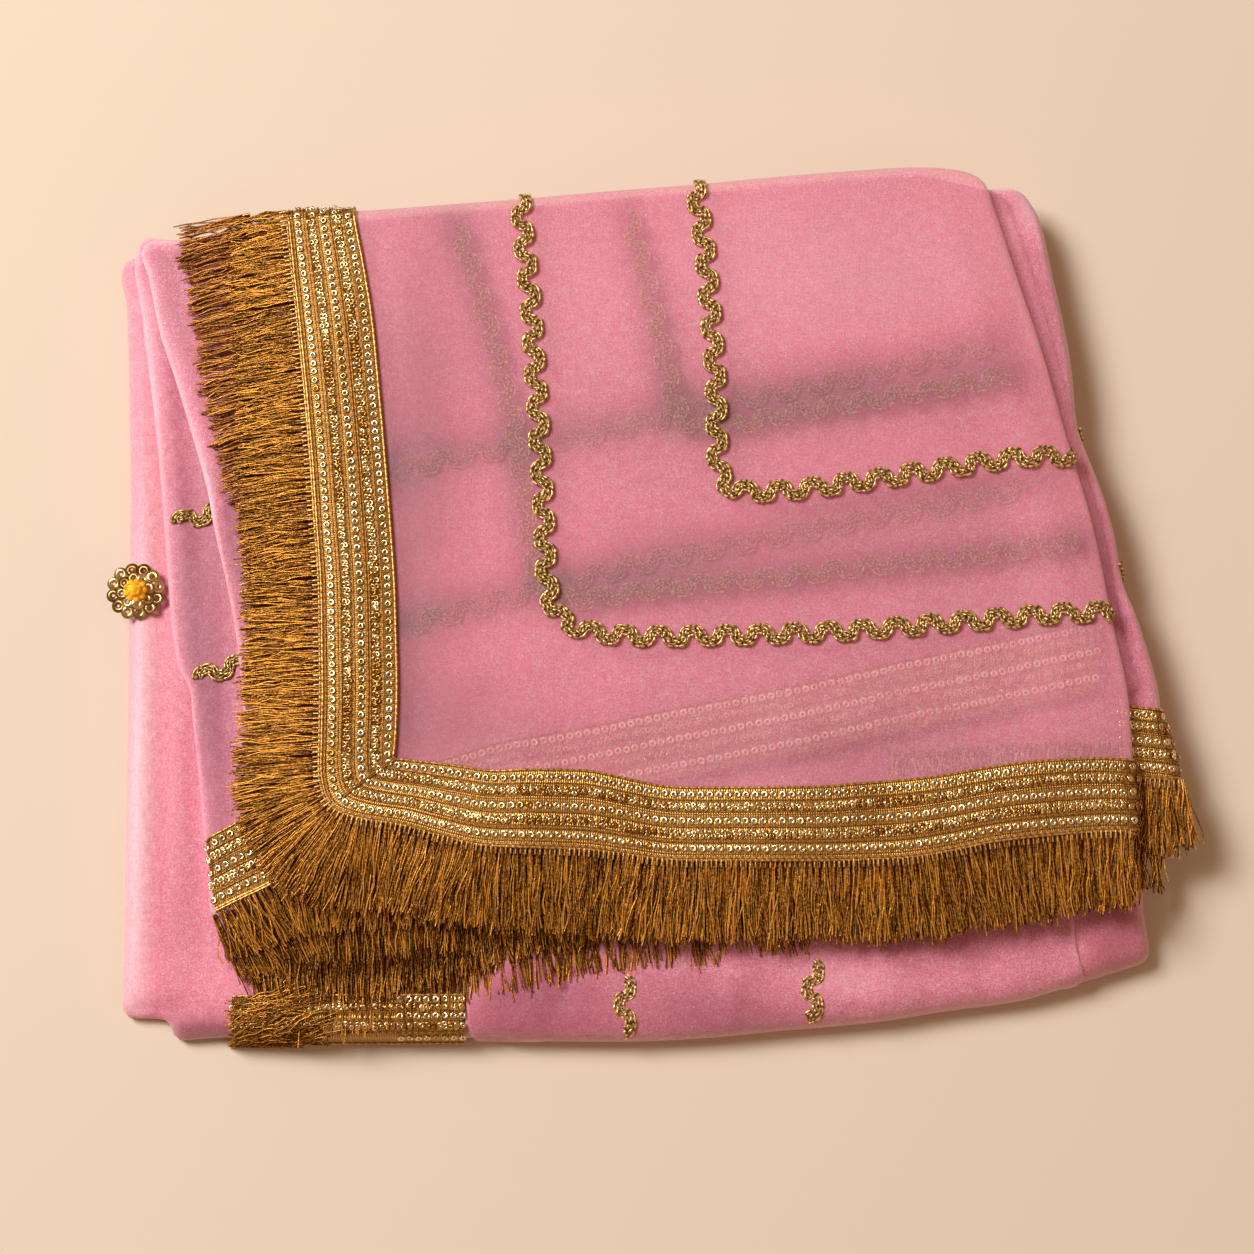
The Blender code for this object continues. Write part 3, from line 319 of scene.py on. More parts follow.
def ground(xy: np.ndarray) -> np.ndarray:
    """Height of the stack's common form, which falls to the left and the front.

    Args:
        xy: Plan points, one row each.

    Returns:
        The height at each point.
    """
    x, y = xy[:, 0], xy[:, 1]
    left = ease((-92.0 - x) / 80.0)
    front = ease((-62.0 - y) / 80.0)
    right = ease((x - 70.0) / 100.0)
    back = ease((y - 70.0) / 75.0)
    fall = LEFT_FALL * left + FRONT_FALL * front - CORNER_RELIEF * left * front
    return STACK_HEIGHT - fall - RIGHT_FALL * right - BACK_FALL * back


def even(line: np.ndarray, step: float, closed: bool = False) -> np.ndarray:
    """A line resampled at an even step, measured in its first two columns.

    Args:
        line: Points in order.
        step: Distance between the new points.
        closed: Whether to leave out the last point, which repeats the first.

    Returns:
        The new points.
    """
    along = walked(line)
    want = np.linspace(0.0, along[-1], max(1, round(along[-1] / step)) + 1)
    if closed:
        want = want[:-1]
    return np.column_stack([np.interp(want, along, column) for column in line.T])


def walked(line: np.ndarray) -> np.ndarray:
    """Distance along a line in plan, from its first point to each."""
    return np.concatenate(([0.0], np.cumsum(np.linalg.norm(np.diff(line[:, :2], axis=0), axis=1))))


def rounded(rows: Rows, step: float, closed: bool = False) -> np.ndarray:
    """Rows resampled at an even step along a rounded curve.

    Args:
        rows: Points with x and y in the first two columns, and any others after.
        step: Distance between the new rows in plan.
        closed: Whether the last row joins the first.

    Returns:
        The new rows. A closed loop does not repeat its first row.
    """
    knots = np.array(rows, dtype=float)
    count = len(knots)
    t = np.linspace(0.0, 1.0, 16, endpoint=False)[:, None]
    dense = []
    for i in range(count if closed else count - 1):
        ids = np.arange(i - 1, i + 3)
        p0, p1, p2, p3 = knots[ids % count if closed else ids.clip(0, count - 1)]
        size = np.linalg.norm((p2 - p1)[:2])
        m1 = (p2 - p0) * (size / max(1e-6, np.linalg.norm((p2 - p0)[:2])))
        m2 = (p3 - p1) * (size / max(1e-6, np.linalg.norm((p3 - p1)[:2])))
        dense.append(
            p1 * (2 * t**3 - 3 * t**2 + 1) + m1 * (t**3 - 2 * t**2 + t)
            + p2 * (3 * t**2 - 2 * t**3) + m2 * (t**3 - t**2)
        )
    dense.append(knots[:1] if closed else knots[-1:])
    return even(np.vstack(dense), step, closed)


def courses(line: np.ndarray) -> tuple[np.ndarray, np.ndarray]:
    """Unit directions along a line in plan, and to the left of it.

    Args:
        line: Points in order, x and y first.

    Returns:
        Both directions at each point.
    """
    run = np.gradient(line[:, :2], axis=0)
    run = run / np.maximum(1e-9, np.linalg.norm(run, axis=1, keepdims=True))
    return run, np.column_stack((-run[:, 1], run[:, 0]))


def near(line: np.ndarray, xy: np.ndarray) -> tuple[np.ndarray, np.ndarray]:
    """Where plan points lie to a line.

    Args:
        line: Points in order, x and y.
        xy: Plan points.

    Returns:
        Distance to the line, and the share of its length at the nearest place.
    """
    sizes = np.linalg.norm(np.diff(line, axis=0), axis=1)
    best, share, before = np.full(len(xy), 1e9), np.zeros(len(xy)), 0.0
    for a, b, size in zip(line, line[1:], sizes):
        t = np.clip(((xy - a) @ (b - a)) / size**2, 0.0, 1.0)
        gap = np.linalg.norm(xy - a - t[:, None] * (b - a), axis=1)
        close = gap < best
        best[close], share[close] = gap[close], (before + t[close] * size) / sizes.sum()
        before += size
    return best, share


@dataclass(frozen=True)
class Crease:
    """A soft ridge, or a trough where its height is negative, along a path in plan."""

    path: Rows
    width: float
    height: float

    def relief(self, xy: np.ndarray) -> np.ndarray:
        """Height that the crease adds at each plan point, fading out to both ends of its path."""
        gap, share = near(np.array(self.path, dtype=float), xy)
        fade = np.sin(np.pi * np.clip(share, 0.0, 1.0)) ** 0.6
        return self.height * np.exp(-((gap / self.width) ** 2)) * fade


@dataclass
class Layer:
    """One layer's upper side: an outline, a level above the ground form and a rounded edge."""

    outline: Rows
    level: float
    radius: float
    creases: tuple[Crease, ...] = ()
    share: bool = False
    ripple: float = 0.18
    step: float = 3.0
    rows: np.ndarray = field(init=False)
    sides: np.ndarray = field(init=False)
    out: np.ndarray = field(init=False)

    def __post_init__(self) -> None:
        """Rounds the outline and finds the outward direction of its sides and corners."""
        self.rows = rounded(self.outline, self.step, closed=True)
        if self.share:
            self.rows[:, 2] *= ground(self.rows) + self.level
        run = np.roll(self.rows[:, :2], -1, axis=0) - self.rows[:, :2]
        run /= np.linalg.norm(run, axis=1, keepdims=True)
        self.sides = np.column_stack((run[:, 1], -run[:, 0]))
        self.out = self.sides + np.roll(self.sides, 1, axis=0)
        self.out /= np.linalg.norm(self.out, axis=1, keepdims=True)

    def height(self, xy: np.ndarray) -> np.ndarray:
        """Height of the layer's flat part.

        Args:
            xy: Plan points.

        Returns:
            Height of the ground form with this layer's level, creases and slight ripple.
        """
        x, y = xy[:, 0], xy[:, 1]
        wave = np.sin(x / 17.0 + 1.7 * np.sin(y / 31.0))
        wave = wave + np.sin(y / 21.0 + 1.3 * np.sin(x / 26.0) + self.level)
        out = ground(xy) + self.level + self.ripple * 0.5 * wave
        for crease in self.creases:
            out = out + crease.relief(xy)
        return out

    def edge(self, xy: np.ndarray) -> tuple[np.ndarray, np.ndarray, np.ndarray]:
        """Where points lie to the layer's outline.

        Args:
            xy: Plan points.

        Returns:
            Distance inside the outline, fold drop at the nearest side and its outward direction.
        """
        a, b = self.rows, np.roll(self.rows, -1, axis=0)
        run = (b - a)[:, :2]
        size = (run**2).sum(axis=1)
        found = []
        for part in np.array_split(xy, max(1, len(xy) // 4000 + 1)):
            rel = part[:, None, :] - a[None, :, :2]
            t = np.clip((rel * run).sum(axis=2) / size, 0.0, 1.0)
            gap = np.linalg.norm(rel - t[:, :, None] * run, axis=2)
            best = gap.argmin(axis=1)
            pick = np.arange(len(part))
            x, y = part[:, 0:1], part[:, 1:2]
            cross = (a[:, 1] > y) != (b[:, 1] > y)
            lean = np.where(run[:, 1] == 0.0, 1e-9, run[:, 1])
            hits = cross & (x < a[:, 0] + (y - a[:, 1]) * run[:, 0] / lean)
            sign = np.where(hits.sum(axis=1) % 2 == 1, 1.0, -1.0)
            drop = a[best, 2] + (b[best, 2] - a[best, 2]) * t[pick, best]
            found.append((sign * gap[pick, best], drop, self.sides[best]))
        gaps, drops, outs = (np.concatenate(column) for column in zip(*found))
        return gaps, drops, outs

    def on(self, xy: np.ndarray, lift: np.ndarray | float = 0.0) -> tuple[np.ndarray, np.ndarray]:
        """Points on the layer. What reaches past a fold goes on down its side.

        Args:
            xy: Plan points.
            lift: Distance above the cloth, along its normal.

        Returns:
            The points and the cloth's normals there.
        """
        gap, drop, side = self.edge(xy)
        over = np.maximum(-gap, 0.0)
        foot = xy - side * over[:, None]
        turn = np.arcsin(np.clip(1.0 - gap / self.radius, 0.0, 1.0))
        turn = np.where(drop < 0.05, 0.0, turn)
        flat = self.height(foot)
        step = 0.6
        slope_x = (self.height(foot + (step, 0.0)) - flat) / step
        slope_y = (self.height(foot + (0.0, step)) - flat) / step
        up = np.maximum(np.cos(turn), 1.0 - drop) * self.radius
        up = np.maximum(up, 1e-3)
        out = np.sin(turn) * drop
        normal = np.column_stack((side[:, 0] * out - slope_x * up, side[:, 1] * out - slope_y * up, up))
        normal /= np.linalg.norm(normal, axis=1, keepdims=True)
        base = np.column_stack((foot, flat - drop * (1.0 - np.cos(turn)) - over))
        return base + normal * np.reshape(lift, (-1, 1)), normal

    def inner(self, inset: float) -> np.ndarray:
        """Plan points a little inside the outline, without those that a corner crowds out."""
        spots = self.rows[:, :2] - self.out * inset
        gap = self.edge(spots)[0]
        return spots[np.abs(gap - inset) < 0.03 + 0.04 * inset]

    def net(self, pitch: float) -> np.ndarray:
        """Plan points of an even triangular net well inside the outline."""
        low, high = self.rows[:, :2].min(axis=0), self.rows[:, :2].max(axis=0)
        spots = []
        for k, y in enumerate(np.arange(low[1], high[1], pitch * 0.87)):
            x = np.arange(low[0] + (k % 2) * pitch / 2.0, high[0], pitch)
            spots.append(np.column_stack((x, np.full(len(x), y))))
        net = np.vstack(spots)
        return net[self.edge(net)[0] > self.radius + 0.45 * pitch]

    def filled(self, insets: list[float], pitch: float) -> tuple[np.ndarray, Faces]:
        """Triangles over the whole layer.

        Args:
            insets: Distances inside the outline of the rings of corners near its edge.
            pitch: Distance between the corners of the net inside them.

        Returns:
            Plan points of the corners, the outline's first, and the triangles.
        """
        spots = [self.inner(inset) for inset in insets] + [self.net(pitch)]
        return triangles(self.rows[:, :2], np.vstack(spots))


def triangles(rim: np.ndarray, spots: np.ndarray) -> tuple[np.ndarray, Faces]:
    """Triangles that fill a closed rim.

    Args:
        rim: Plan points of the rim in order, anticlockwise.
        spots: Plan points inside it.

    Returns:
        Plan points of the corners, the rim's first, and the triangles.
    """
    corners = np.vstack((rim, spots))
    sides = [(i, (i + 1) % len(rim)) for i in range(len(rim))]
    _, _, faces, origin, _, _ = geometry.delaunay_2d_cdt([Vector(p) for p in corners], sides, [], 1, 1e-6)
    names = [min(o) for o in origin]
    return corners, [tuple(names[k] for k in face) for face in faces]


def walled(
    points: np.ndarray, faces: Faces, layer: Layer, rings: list[tuple[np.ndarray, np.ndarray]]
) -> tuple[np.ndarray, int]:
    """Adds rings of wall under a layer's outline, each joined to the one above.

    Args:
        points: Corners, the outline's first.
        faces: Faces, to which the walls are added.
        layer: The layer.
        rings: For each ring, how far in it stands and its height, at each corner of the outline.

    Returns:
        All corners, and the number of the lowest ring's first.
    """
    count, high = len(layer.out), 0
    order = np.arange(count)
    after = np.roll(order, -1)
    for inset, height in rings:
        low = len(points)
        ring = np.column_stack((points[:count, :2] - layer.out * inset[:, None], height))
        points = np.vstack((points, ring))
        faces += np.column_stack((low + order, low + after, high + after, high + order)).tolist()
        high = low
    return points, high


def show(name: str, data: bpy.types.ID) -> bpy.types.Object:
    """Puts a mesh, lamp or camera into the scene as an object at the origin."""
    body = bpy.data.objects.new(name, data)
    bpy.context.scene.collection.objects.link(body)
    return body


def make_mesh(
    name: str,
    points: np.ndarray,
    faces: Faces,
    material: bpy.types.Material | None,
    edges: list[tuple[int, int]] | None = None,
    marks: dict[str, np.ndarray] | None = None,
) -> bpy.types.Object:
    """One object whose place is in its mesh.

    Args:
        name: Name of the piece.
        points: Corners in millimetres, in the cloth's own plan.
        faces: Faces, or an empty list where edges are given.
        material: Its finish.
        edges: Edges of a wire that has no faces.
        marks: Named values of each corner, numbers or vectors.

    Returns:
        The new object, smooth shaded.
    """
    mesh = bpy.data.meshes.new(name)
    mesh.from_pydata(((points + SHIFT) * MM).tolist(), edges or [], faces)
    for key, values in (marks or {}).items():
        kind, slot = ("FLOAT", "value") if values.ndim == 1 else ("FLOAT_VECTOR", "vector")
        mark = mesh.attributes.new(key, kind, "POINT")
        mark.data.foreach_set(slot, np.ascontiguousarray(values, dtype=np.float32).ravel())
    if material is not None:
        mesh.materials.append(material)
    if faces:
        mesh.shade_smooth()
    return show(name, mesh)


def hand_over(piece: bpy.types.Object, slot: Slot, *nodes: str) -> bpy.types.Object:
    """Lets a piece ride on the stack and hides what it stands for.

    Args:
        piece: The finished piece.
        slot: The record's material slot. Not used.
        nodes: CAD nodes that it replaces.

    Returns:
        The piece.
    """
    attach(piece, "root")
    if nodes:
        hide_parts(*nodes)
    piece.data.calc_loop_triangles()
    LOG.info("%s: %d triangles", piece.name, len(piece.data.loop_triangles))
    return piece


def linear(code: str) -> tuple[float, float, float, float]:
    """Linear colour of an sRGB hex code such as #F28795.

    Args:
        code: The hex code.

    Returns:
        Red, green, blue and 1.
    """
    parts = [int(code[k:k + 2], 16) / 255.0 for k in (1, 3, 5)]
    out = [p / 12.92 if p <= 0.04045 else ((p + 0.055) / 1.055) ** 2.4 for p in parts]
    return (*out, 1.0)


class NodePlan:
    """A node tree under way."""

    def __init__(self, tree: bpy.types.NodeTree) -> None:
        """Starts on a tree."""
        self.tree = tree

    def fill(self, node: bpy.types.Node, inputs: dict[str | int, object]) -> None:
        """Gives a node's sockets their values, or links from other sockets.

        Args:
            node: The node.
            inputs: Sockets by name or place, each with a value or a socket to link from.
        """
        for key, value in inputs.items():
            if isinstance(value, bpy.types.NodeSocket):
                self.tree.links.new(value, node.inputs[key])
            else:
                node.inputs[key].default_value = value

    def add(
        self, kind: str, inputs: dict[str | int, object] | None = None, output: str | int = 0,
        **settings: object,
    ) -> bpy.types.NodeSocket:
        """Adds a node with its settings, values and links.

        Args:
            kind: The node's type name.
            inputs: Sockets by name or place, each with a value or a socket to link from.
            output: The socket that is wanted.
            settings: Properties of the node.

        Returns:
            The wanted socket.
        """
        made = self.tree.nodes.new(kind)
        for key, value in settings.items():
            setattr(made, key, value)
        self.fill(made, inputs or {})
        return made.outputs[output]


class Paint(NodePlan):
    """A material under way."""

    def __init__(self, name: str) -> None:
        """Starts a new material, named for the real one."""
        self.made = bpy.data.materials.new(name)
        self.made.use_nodes = True
        super().__init__(self.made.node_tree)
        self.place = self.add("ShaderNodeTexCoord", output="Object")

    def done(self, inputs: dict[str | int, object]) -> bpy.types.Material:
        """Sets or links the shader's sockets and returns the material."""
        self.fill(self.tree.nodes["Principled BSDF"], inputs)
        return self.made


@dataclass(frozen=True)
class Organza:
    """Silk-like nylon organza: a crisp sheer plain weave of bright single threads.

    The eye sees a curly grain of fine bright glints where threads cross, lighter
    and less sheer where the cloth turns away, and whatever lies under it dimly
    through. The real weave is 0.3 mm, too fine to show, so its glints are painted
    into the colour as highlights at 0.6 and 0.9 mm. The tint mark paints shade
    and light into the colour too.
    """

    name: str
    cloth: str
    deep: str
    glint: str
    cover: float
    sparkle: float = 1.0

    def glints(self, paint: Paint) -> bpy.types.NodeSocket:
        """Painted glints: fine curly bright lines, where a small noise crosses its own middle, and dots.

        Args:
            paint: The material under way.

        Returns:
            Strength of the painted glints, brighter in patches.
        """
        place, lines = paint.place, []
        for size, width in ((0.9, 0.07), (0.6, 0.055)):
            curl = paint.add(
                "ShaderNodeTexNoise",
                {"Vector": place, "Scale": 1000.0 / size, "Detail": 1.0, "Distortion": 0.6})
            off = paint.add("ShaderNodeMath", {0: curl, 1: 0.5}, operation="SUBTRACT")
            away = paint.add("ShaderNodeMath", {0: off}, operation="ABSOLUTE")
            lines.append(paint.add("ShaderNodeMapRange", {"Value": away, 1: 0.0, 2: width, 3: 1.0, 4: 0.0}))
        both = paint.add("ShaderNodeMath", {0: lines[0], 1: lines[1]}, operation="MAXIMUM")
        drift = paint.add("ShaderNodeTexNoise", {"Vector": place, "Scale": 260.0, "Detail": 3.0})
        patch = paint.add(
            "ShaderNodeMapRange",
            {"Value": drift, 1: 0.34, 2: 0.68, 3: 0.4 * self.sparkle, 4: 0.74 * self.sparkle})
        lit = paint.add("ShaderNodeMath", {0: both, 1: patch}, operation="MULTIPLY", use_clamp=True)
        dots = paint.add("ShaderNodeTexNoise", {"Vector": place, "Scale": 1300.0, "Detail": 1.0})
        flash = paint.add("ShaderNodeMapRange", {"Value": dots, 1: 0.68, 2: 0.76, 3: 0.0, 4: self.sparkle})
        return paint.add("ShaderNodeMath", {0: lit, 1: flash}, operation="MAXIMUM")

    def build(self) -> bpy.types.Material:
        """Makes the material."""
        paint = Paint(self.name)
        thread = []
        for stretch in ((0.22, 1.0, 1.0), (1.0, 0.22, 1.0)):
            turned = paint.add("ShaderNodeMapping", {"Vector": paint.place, "Scale": stretch})
            thread.append(paint.add(
                "ShaderNodeTexNoise", {"Vector": turned, "Scale": 1100.0, "Detail": 2.0, "Roughness": 0.7}))
        weave = paint.add("ShaderNodeMath", {0: thread[0], 1: thread[1]}, operation="MULTIPLY")
        fine = paint.add("ShaderNodeMapRange", {"Value": weave, 1: 0.12, 2: 0.42})
        cloud = paint.add("ShaderNodeTexNoise", {"Vector": paint.place, "Scale": 16.0, "Detail": 3.0})
        patch = paint.add("ShaderNodeMapRange", {"Value": cloud, 1: 0.35, 2: 0.65, 3: 0.0, 4: 0.22})
        # The tint mark holds painted shade above 0 and painted light below 0, set per corner of the cloth
        tint = paint.add("ShaderNodeAttribute", output="Fac", attribute_name="tint")
        # deep: a random cloud of deeper tone plus the painted shade; pale: the painted light
        deep = paint.add("ShaderNodeMath", {0: patch, 1: tint}, operation="ADD", use_clamp=True)
        pale = paint.add("ShaderNodeMath", {0: tint, 1: -1.0}, operation="MULTIPLY", use_clamp=True)
        turn = paint.add("ShaderNodeLayerWeight", {"Blend": 0.3}, "Facing")
        dark = paint.add("ShaderNodeMapRange", {"Value": fine, 1: 0.0, 2: 0.8, 3: 0.3, 4: 0.0})
        # Fewer painted glints where painted shade lies
        plain = paint.add("ShaderNodeMapRange", {"Value": tint, 1: 0.0, 2: 0.6, 3: 1.0, 4: 0.35})
        glints = paint.add("ShaderNodeMath", {0: self.glints(paint), 1: plain}, operation="MULTIPLY")
        colour = linear(self.cloth)
        # Mixed in turn: the deep tone and painted shade, the painted light, the lighter edge where the cloth
        # turns away, the weave's dark gaps and the painted glints
        for share, over in (
            (deep, self.deep), (pale, self.glint), (turn, self.glint), (dark, self.deep), (glints, "#FFDCE6"),
        ):
            colour = paint.add("ShaderNodeMix", {0: share, 6: colour, 7: linear(over)}, 2, data_type="RGBA")
        return paint.done({
            "Base Color": colour,
            "Roughness": paint.add("ShaderNodeMapRange", {"Value": fine, 3: 0.6, 4: 0.4}),
            "Normal": paint.add("ShaderNodeBump", {"Strength": 0.35, "Distance": 0.0004, "Height": glints}),
            "Alpha": self.cover,
            "Specular IOR Level": 0.35,
            "Sheen Weight": 0.25,
            "Sheen Roughness": 0.35,
            "Sheen Tint": linear("#FFD0D8"),
        })


@dataclass(frozen=True)
class GoldThread:
    """Gold metallised yarn: a flat shiny film wound on a core, so each thread glints along its length.

    Threads differ in tone, and darker olive shows where they sink into shade.
    The film's turns are drawn 0.8 mm apart.
    """

    name: str
    light: str
    dark: str
    shine: float
    rough: float

    def build(self) -> bpy.types.Material:
        """Makes the material."""
        paint = Paint(self.name)
        tone = paint.add("ShaderNodeAttribute", output="Fac", attribute_name="tone")
        wound = paint.add("ShaderNodeTexNoise", {"Vector": paint.place, "Scale": 1250.0, "Detail": 1.0})
        glint = paint.add("ShaderNodeMapRange", {"Value": wound, 1: 0.35, 2: 0.7, 3: -0.25, 4: 0.35})
        share = paint.add("ShaderNodeMath", {0: tone, 1: glint}, operation="ADD", use_clamp=True)
        colours = {0: share, 6: linear(self.dark), 7: linear(self.light)}
        return paint.done({
            "Base Color": paint.add("ShaderNodeMix", colours, 2, data_type="RGBA"),
            "Normal": paint.add("ShaderNodeBump", {"Strength": 0.5, "Distance": 0.0003, "Height": wound}),
            "Metallic": self.shine,
            "Roughness": self.rough,
            "Specular IOR Level": 0.25,
        })


@dataclass(frozen=True)
class SequinFoil:
    """Metallised plastic sequin: a punched gold mirror film that flashes or goes dark with its tilt, its
    colour lighter or darker with the tone mark, which on the borders is painted light.
    """

    name: str
    light: str
    dark: str
    rough: float
    shine: float = 1.0

    def build(self) -> bpy.types.Material:
        """Makes the material."""
        paint = Paint(self.name)
        tone = paint.add("ShaderNodeAttribute", output="Fac", attribute_name="tone")
        scuff = paint.add("ShaderNodeTexNoise", {"Vector": paint.place, "Scale": 700.0, "Detail": 2.0})
        worn = {"Value": scuff, 1: 0.3, 2: 0.7, 3: self.rough * 0.8, 4: self.rough * 1.4}
        colours = {0: tone, 6: linear(self.dark), 7: linear(self.light)}
        return paint.done({
            "Base Color": paint.add("ShaderNodeMix", colours, 2, data_type="RGBA"),
            "Roughness": paint.add("ShaderNodeMapRange", worn),
            "Metallic": self.shine,
        })


@dataclass(frozen=True)
class LurexGround:
    """Woven lurex ribbon: flat gold strips across a brown warp, seen between the sequin rows.

    The strips are 0.4 mm wide and are drawn at 0.8 mm, which the picture can just show.
    """

    name: str
    light: str
    dark: str
    shine: float = 0.8

    def build(self) -> bpy.types.Material:
        """Makes the material."""
        paint = Paint(self.name)
        track = paint.add("ShaderNodeUVMap", uv_map="weave")
        strips = paint.add(
            "ShaderNodeTexWave", {"Vector": track, "Scale": 390.0, "Distortion": 1.5, "Detail": 1.0}, "Fac",
            wave_type="BANDS", bands_direction="X")
        speck = paint.add("ShaderNodeTexNoise", {"Vector": paint.place, "Scale": 900.0, "Detail": 2.0})
        share = paint.add("ShaderNodeMath", {0: strips, 1: speck}, operation="MULTIPLY")
        colours = {0: share, 6: linear(self.dark), 7: linear(self.light)}
        return paint.done({
            "Base Color": paint.add("ShaderNodeMix", colours, 2, data_type="RGBA"),
            "Normal": paint.add("ShaderNodeBump", {"Strength": 0.6, "Distance": 0.0004, "Height": share}),
            "Metallic": self.shine,
            "Roughness": 0.38,
        })


@dataclass(frozen=True)
class AmberGlass:
    """Pressed amber glass: facets from yellow to orange with a bright window in each, and a faint painted
    glow.
    """

    name: str
    light: str
    dark: str

    def build(self) -> bpy.types.Material:
        """Makes the material."""
        paint = Paint(self.name)
        cells = paint.add("ShaderNodeTexVoronoi", {"Vector": paint.place, "Scale": 900.0}, "Color")
        split = paint.add("ShaderNodeSeparateColor", {"Color": cells})
        colours = {0: split, 6: linear(self.dark), 7: linear(self.light)}
        return paint.done({
            "Base Color": paint.add("ShaderNodeMix", colours, 2, data_type="RGBA"),
            "Roughness": 0.12,
            "IOR": 1.52,
            "Coat Weight": 0.6,
            "Coat Roughness": 0.05,
            # Painted glow: a little orange light given off by the glass itself
            "Emission Color": linear("#E08A10"),
            "Emission Strength": 0.12,
        })


@dataclass(frozen=True)
class TableTop:
    """Matt painted board under the stack, plain and pale."""

    name: str
    light: str
    dark: str

    def build(self) -> bpy.types.Material:
        """Makes the material."""
        paint = Paint(self.name)
        mottle = paint.add("ShaderNodeTexNoise", {"Vector": paint.place, "Scale": 5.0, "Detail": 2.0})
        share = paint.add("ShaderNodeMapRange", {"Value": mottle, 3: 0.0, 4: 0.08})
        colours = {0: share, 6: linear(self.light), 7: linear(self.dark)}
        return paint.done({
            "Base Color": paint.add("ShaderNodeMix", colours, 2, data_type="RGBA"),
            "Roughness": 0.9,
            "Specular IOR Level": 0.1,
        })


def creases(*rows: tuple[float, ...]) -> tuple[Crease, ...]:
    """Creases from rows of three points' x and y, a width and a height."""
    return tuple(Crease((row[0:2], row[2:4], row[4:6]), row[6], row[7]) for row in rows)


TOP_CREASES = creases(
    (-100, -50, -72, -66, -66, -92, 9, -0.9),
    (-46, -34, -42, -62, -40, -92, 12, 1.9),
    (-4, -30, 0, -60, 0, -96, 12, -1.2),
    (48, -34, 44, -62, 42, -96, 15, 1.8),
    (84, -40, 76, -64, 74, -92, 10, -1.1),
    (134, -36, 122, -60, 118, -90, 18, 1.5),
    (-112, 118, -103, 40, -98, -40, 7, 0.6),
    (-84, 128, -76, 60, -70, -30, 12, 0.8),
    (-30, -40, 30, -28, 120, -12, 10, 0.7),
    (96, 140, 118, 70, 138, 0, 8, 1.3),
    (40, 140, 60, 100, 120, 88, 22, 1.2),
    (-10, 20, 40, 24, 120, 34, 12, -0.6),
    (-60, -20, -66, -40, -60, -60, 8, 0.7),
)
CORE_CREASES = creases(
    (-175.5, 120, -172.5, 20, -171, -130, 3.4, 1.5),
    (-168, 116, -165, 30, -162, -126, 3.2, -1.3),
    (-162, 60, -159, -40, -155, -128, 3.6, 1.2),
    (-156, -30, -153, -70, -149, -120, 3, -0.8),
    (-176, -96, -160, -112, -140, -124, 7, -0.7),
    (-176, -134.2, -160, -134.8, -139, -138, 1.7, -1.4),
    (-60, -136, -52, -128, -46, -116, 3.5, 1),
    (-36, -144, -30, -130, -28, -116, 3, -0.9),
    (22, -142, 26, -128, 30, -112, 5, 0.9),
    (70, -138, 78, -122, 84, -106, 7, 1),
    (106, -134, 110, -116, 112, -100, 5, -0.9),
    (60, -120, 100, -112, 138, -104, 5, 0.8),
    (136, -130, 146, -112, 158, -92, 5, 0.9),
)
THIRD_CREASES = creases(
    (-173.5, 122, -161.5, 50, -151, -60, 3.2, 1.4),
    (-166, 120, -160, 70, -153.5, 10, 3, -1.1),
    (-151, 20, -147.5, -30, -144, -90, 3, 1.1),
    (148, 60, 156, 10, 166, -50, 3, 0.9),
    (128, 138, 134, 100, 139, 66, 3, 1),
)
FOLD_CREASES = creases(
    (-168, 120, -154, 60, -140, -40, 3.4, 1.1),
    (-158, 124, -148, 70, -140, 20, 3.4, -0.9),
)
SECOND_CREASES = creases((-60, -70, 20, -50, 130, -24, 10, 0.6))

# Soft patches of the cloth's colour, mostly painted shade with some deeper tone of the cloth, and painted
# light below 0: x, y, half width, half depth, strength
TOP_SHADES: Rows = (
    (-79, 40, 14, 90, 0.65), (-72, -40, 34, 18, 0.5), (60, -52, 110, 10, 0.25), (10, 6, 60, 20, 0.2),
    (80, 66, 60, 14, 0.25), (66, 112, 66, 30, -0.36), (-20, 100, 18, 30, -0.12), (126, 30, 8, 90, -0.22),
)
CORE_SHADES: Rows = (
    (-172, -60, 4.8, 110, -0.85), (-158, -84, 5, 50, 0.3), (-30, -138, 40, 12, 0.75),
    (90, -132, 60, 12, 0.45), (-146, -144, 16, 5, 1), (-120, -140, 60, 7, 0.4), (152, -110, 12, 22, 0.6),
)
THIRD_SHADES: Rows = (
    (-171, 90, 4, 40, -0.35), (-150, -20, 9, 90, 0.62), (-160, 40, 9, 70, 0.16),
    (128, 136, 9, 12, -0.55), (152, 20, 5, 50, 0.35),
)
FOLD_SHADES: Rows = ((-150, 20, 4, 60, -0.5), (-143, 10, 9, 80, 0.5))
FRONT_SHADES: Rows = (
    (-40, -134, 26, 16, 0.85), (20, -136, 30, 10, 0.6), (96, -112, 40, 8, 0.35), (60, -126, 22, 6, -0.25),
)


def shaded(shades: Rows, xy: np.ndarray) -> np.ndarray:
    """How much painted shade, with some deeper tone, deepens the cloth's colour at each plan point.

    Args:
        shades: The soft patches.
        xy: Plan points.

    Returns:
        The strength at each point, negative where painted light makes the cloth paler.
    """
    out = np.zeros(len(xy))
    for x, y, wide, deep, strength in shades:
        out += strength * np.exp(-(((xy[:, 0] - x) / wide) ** 2) - ((xy[:, 1] - y) / deep) ** 2)
    return out


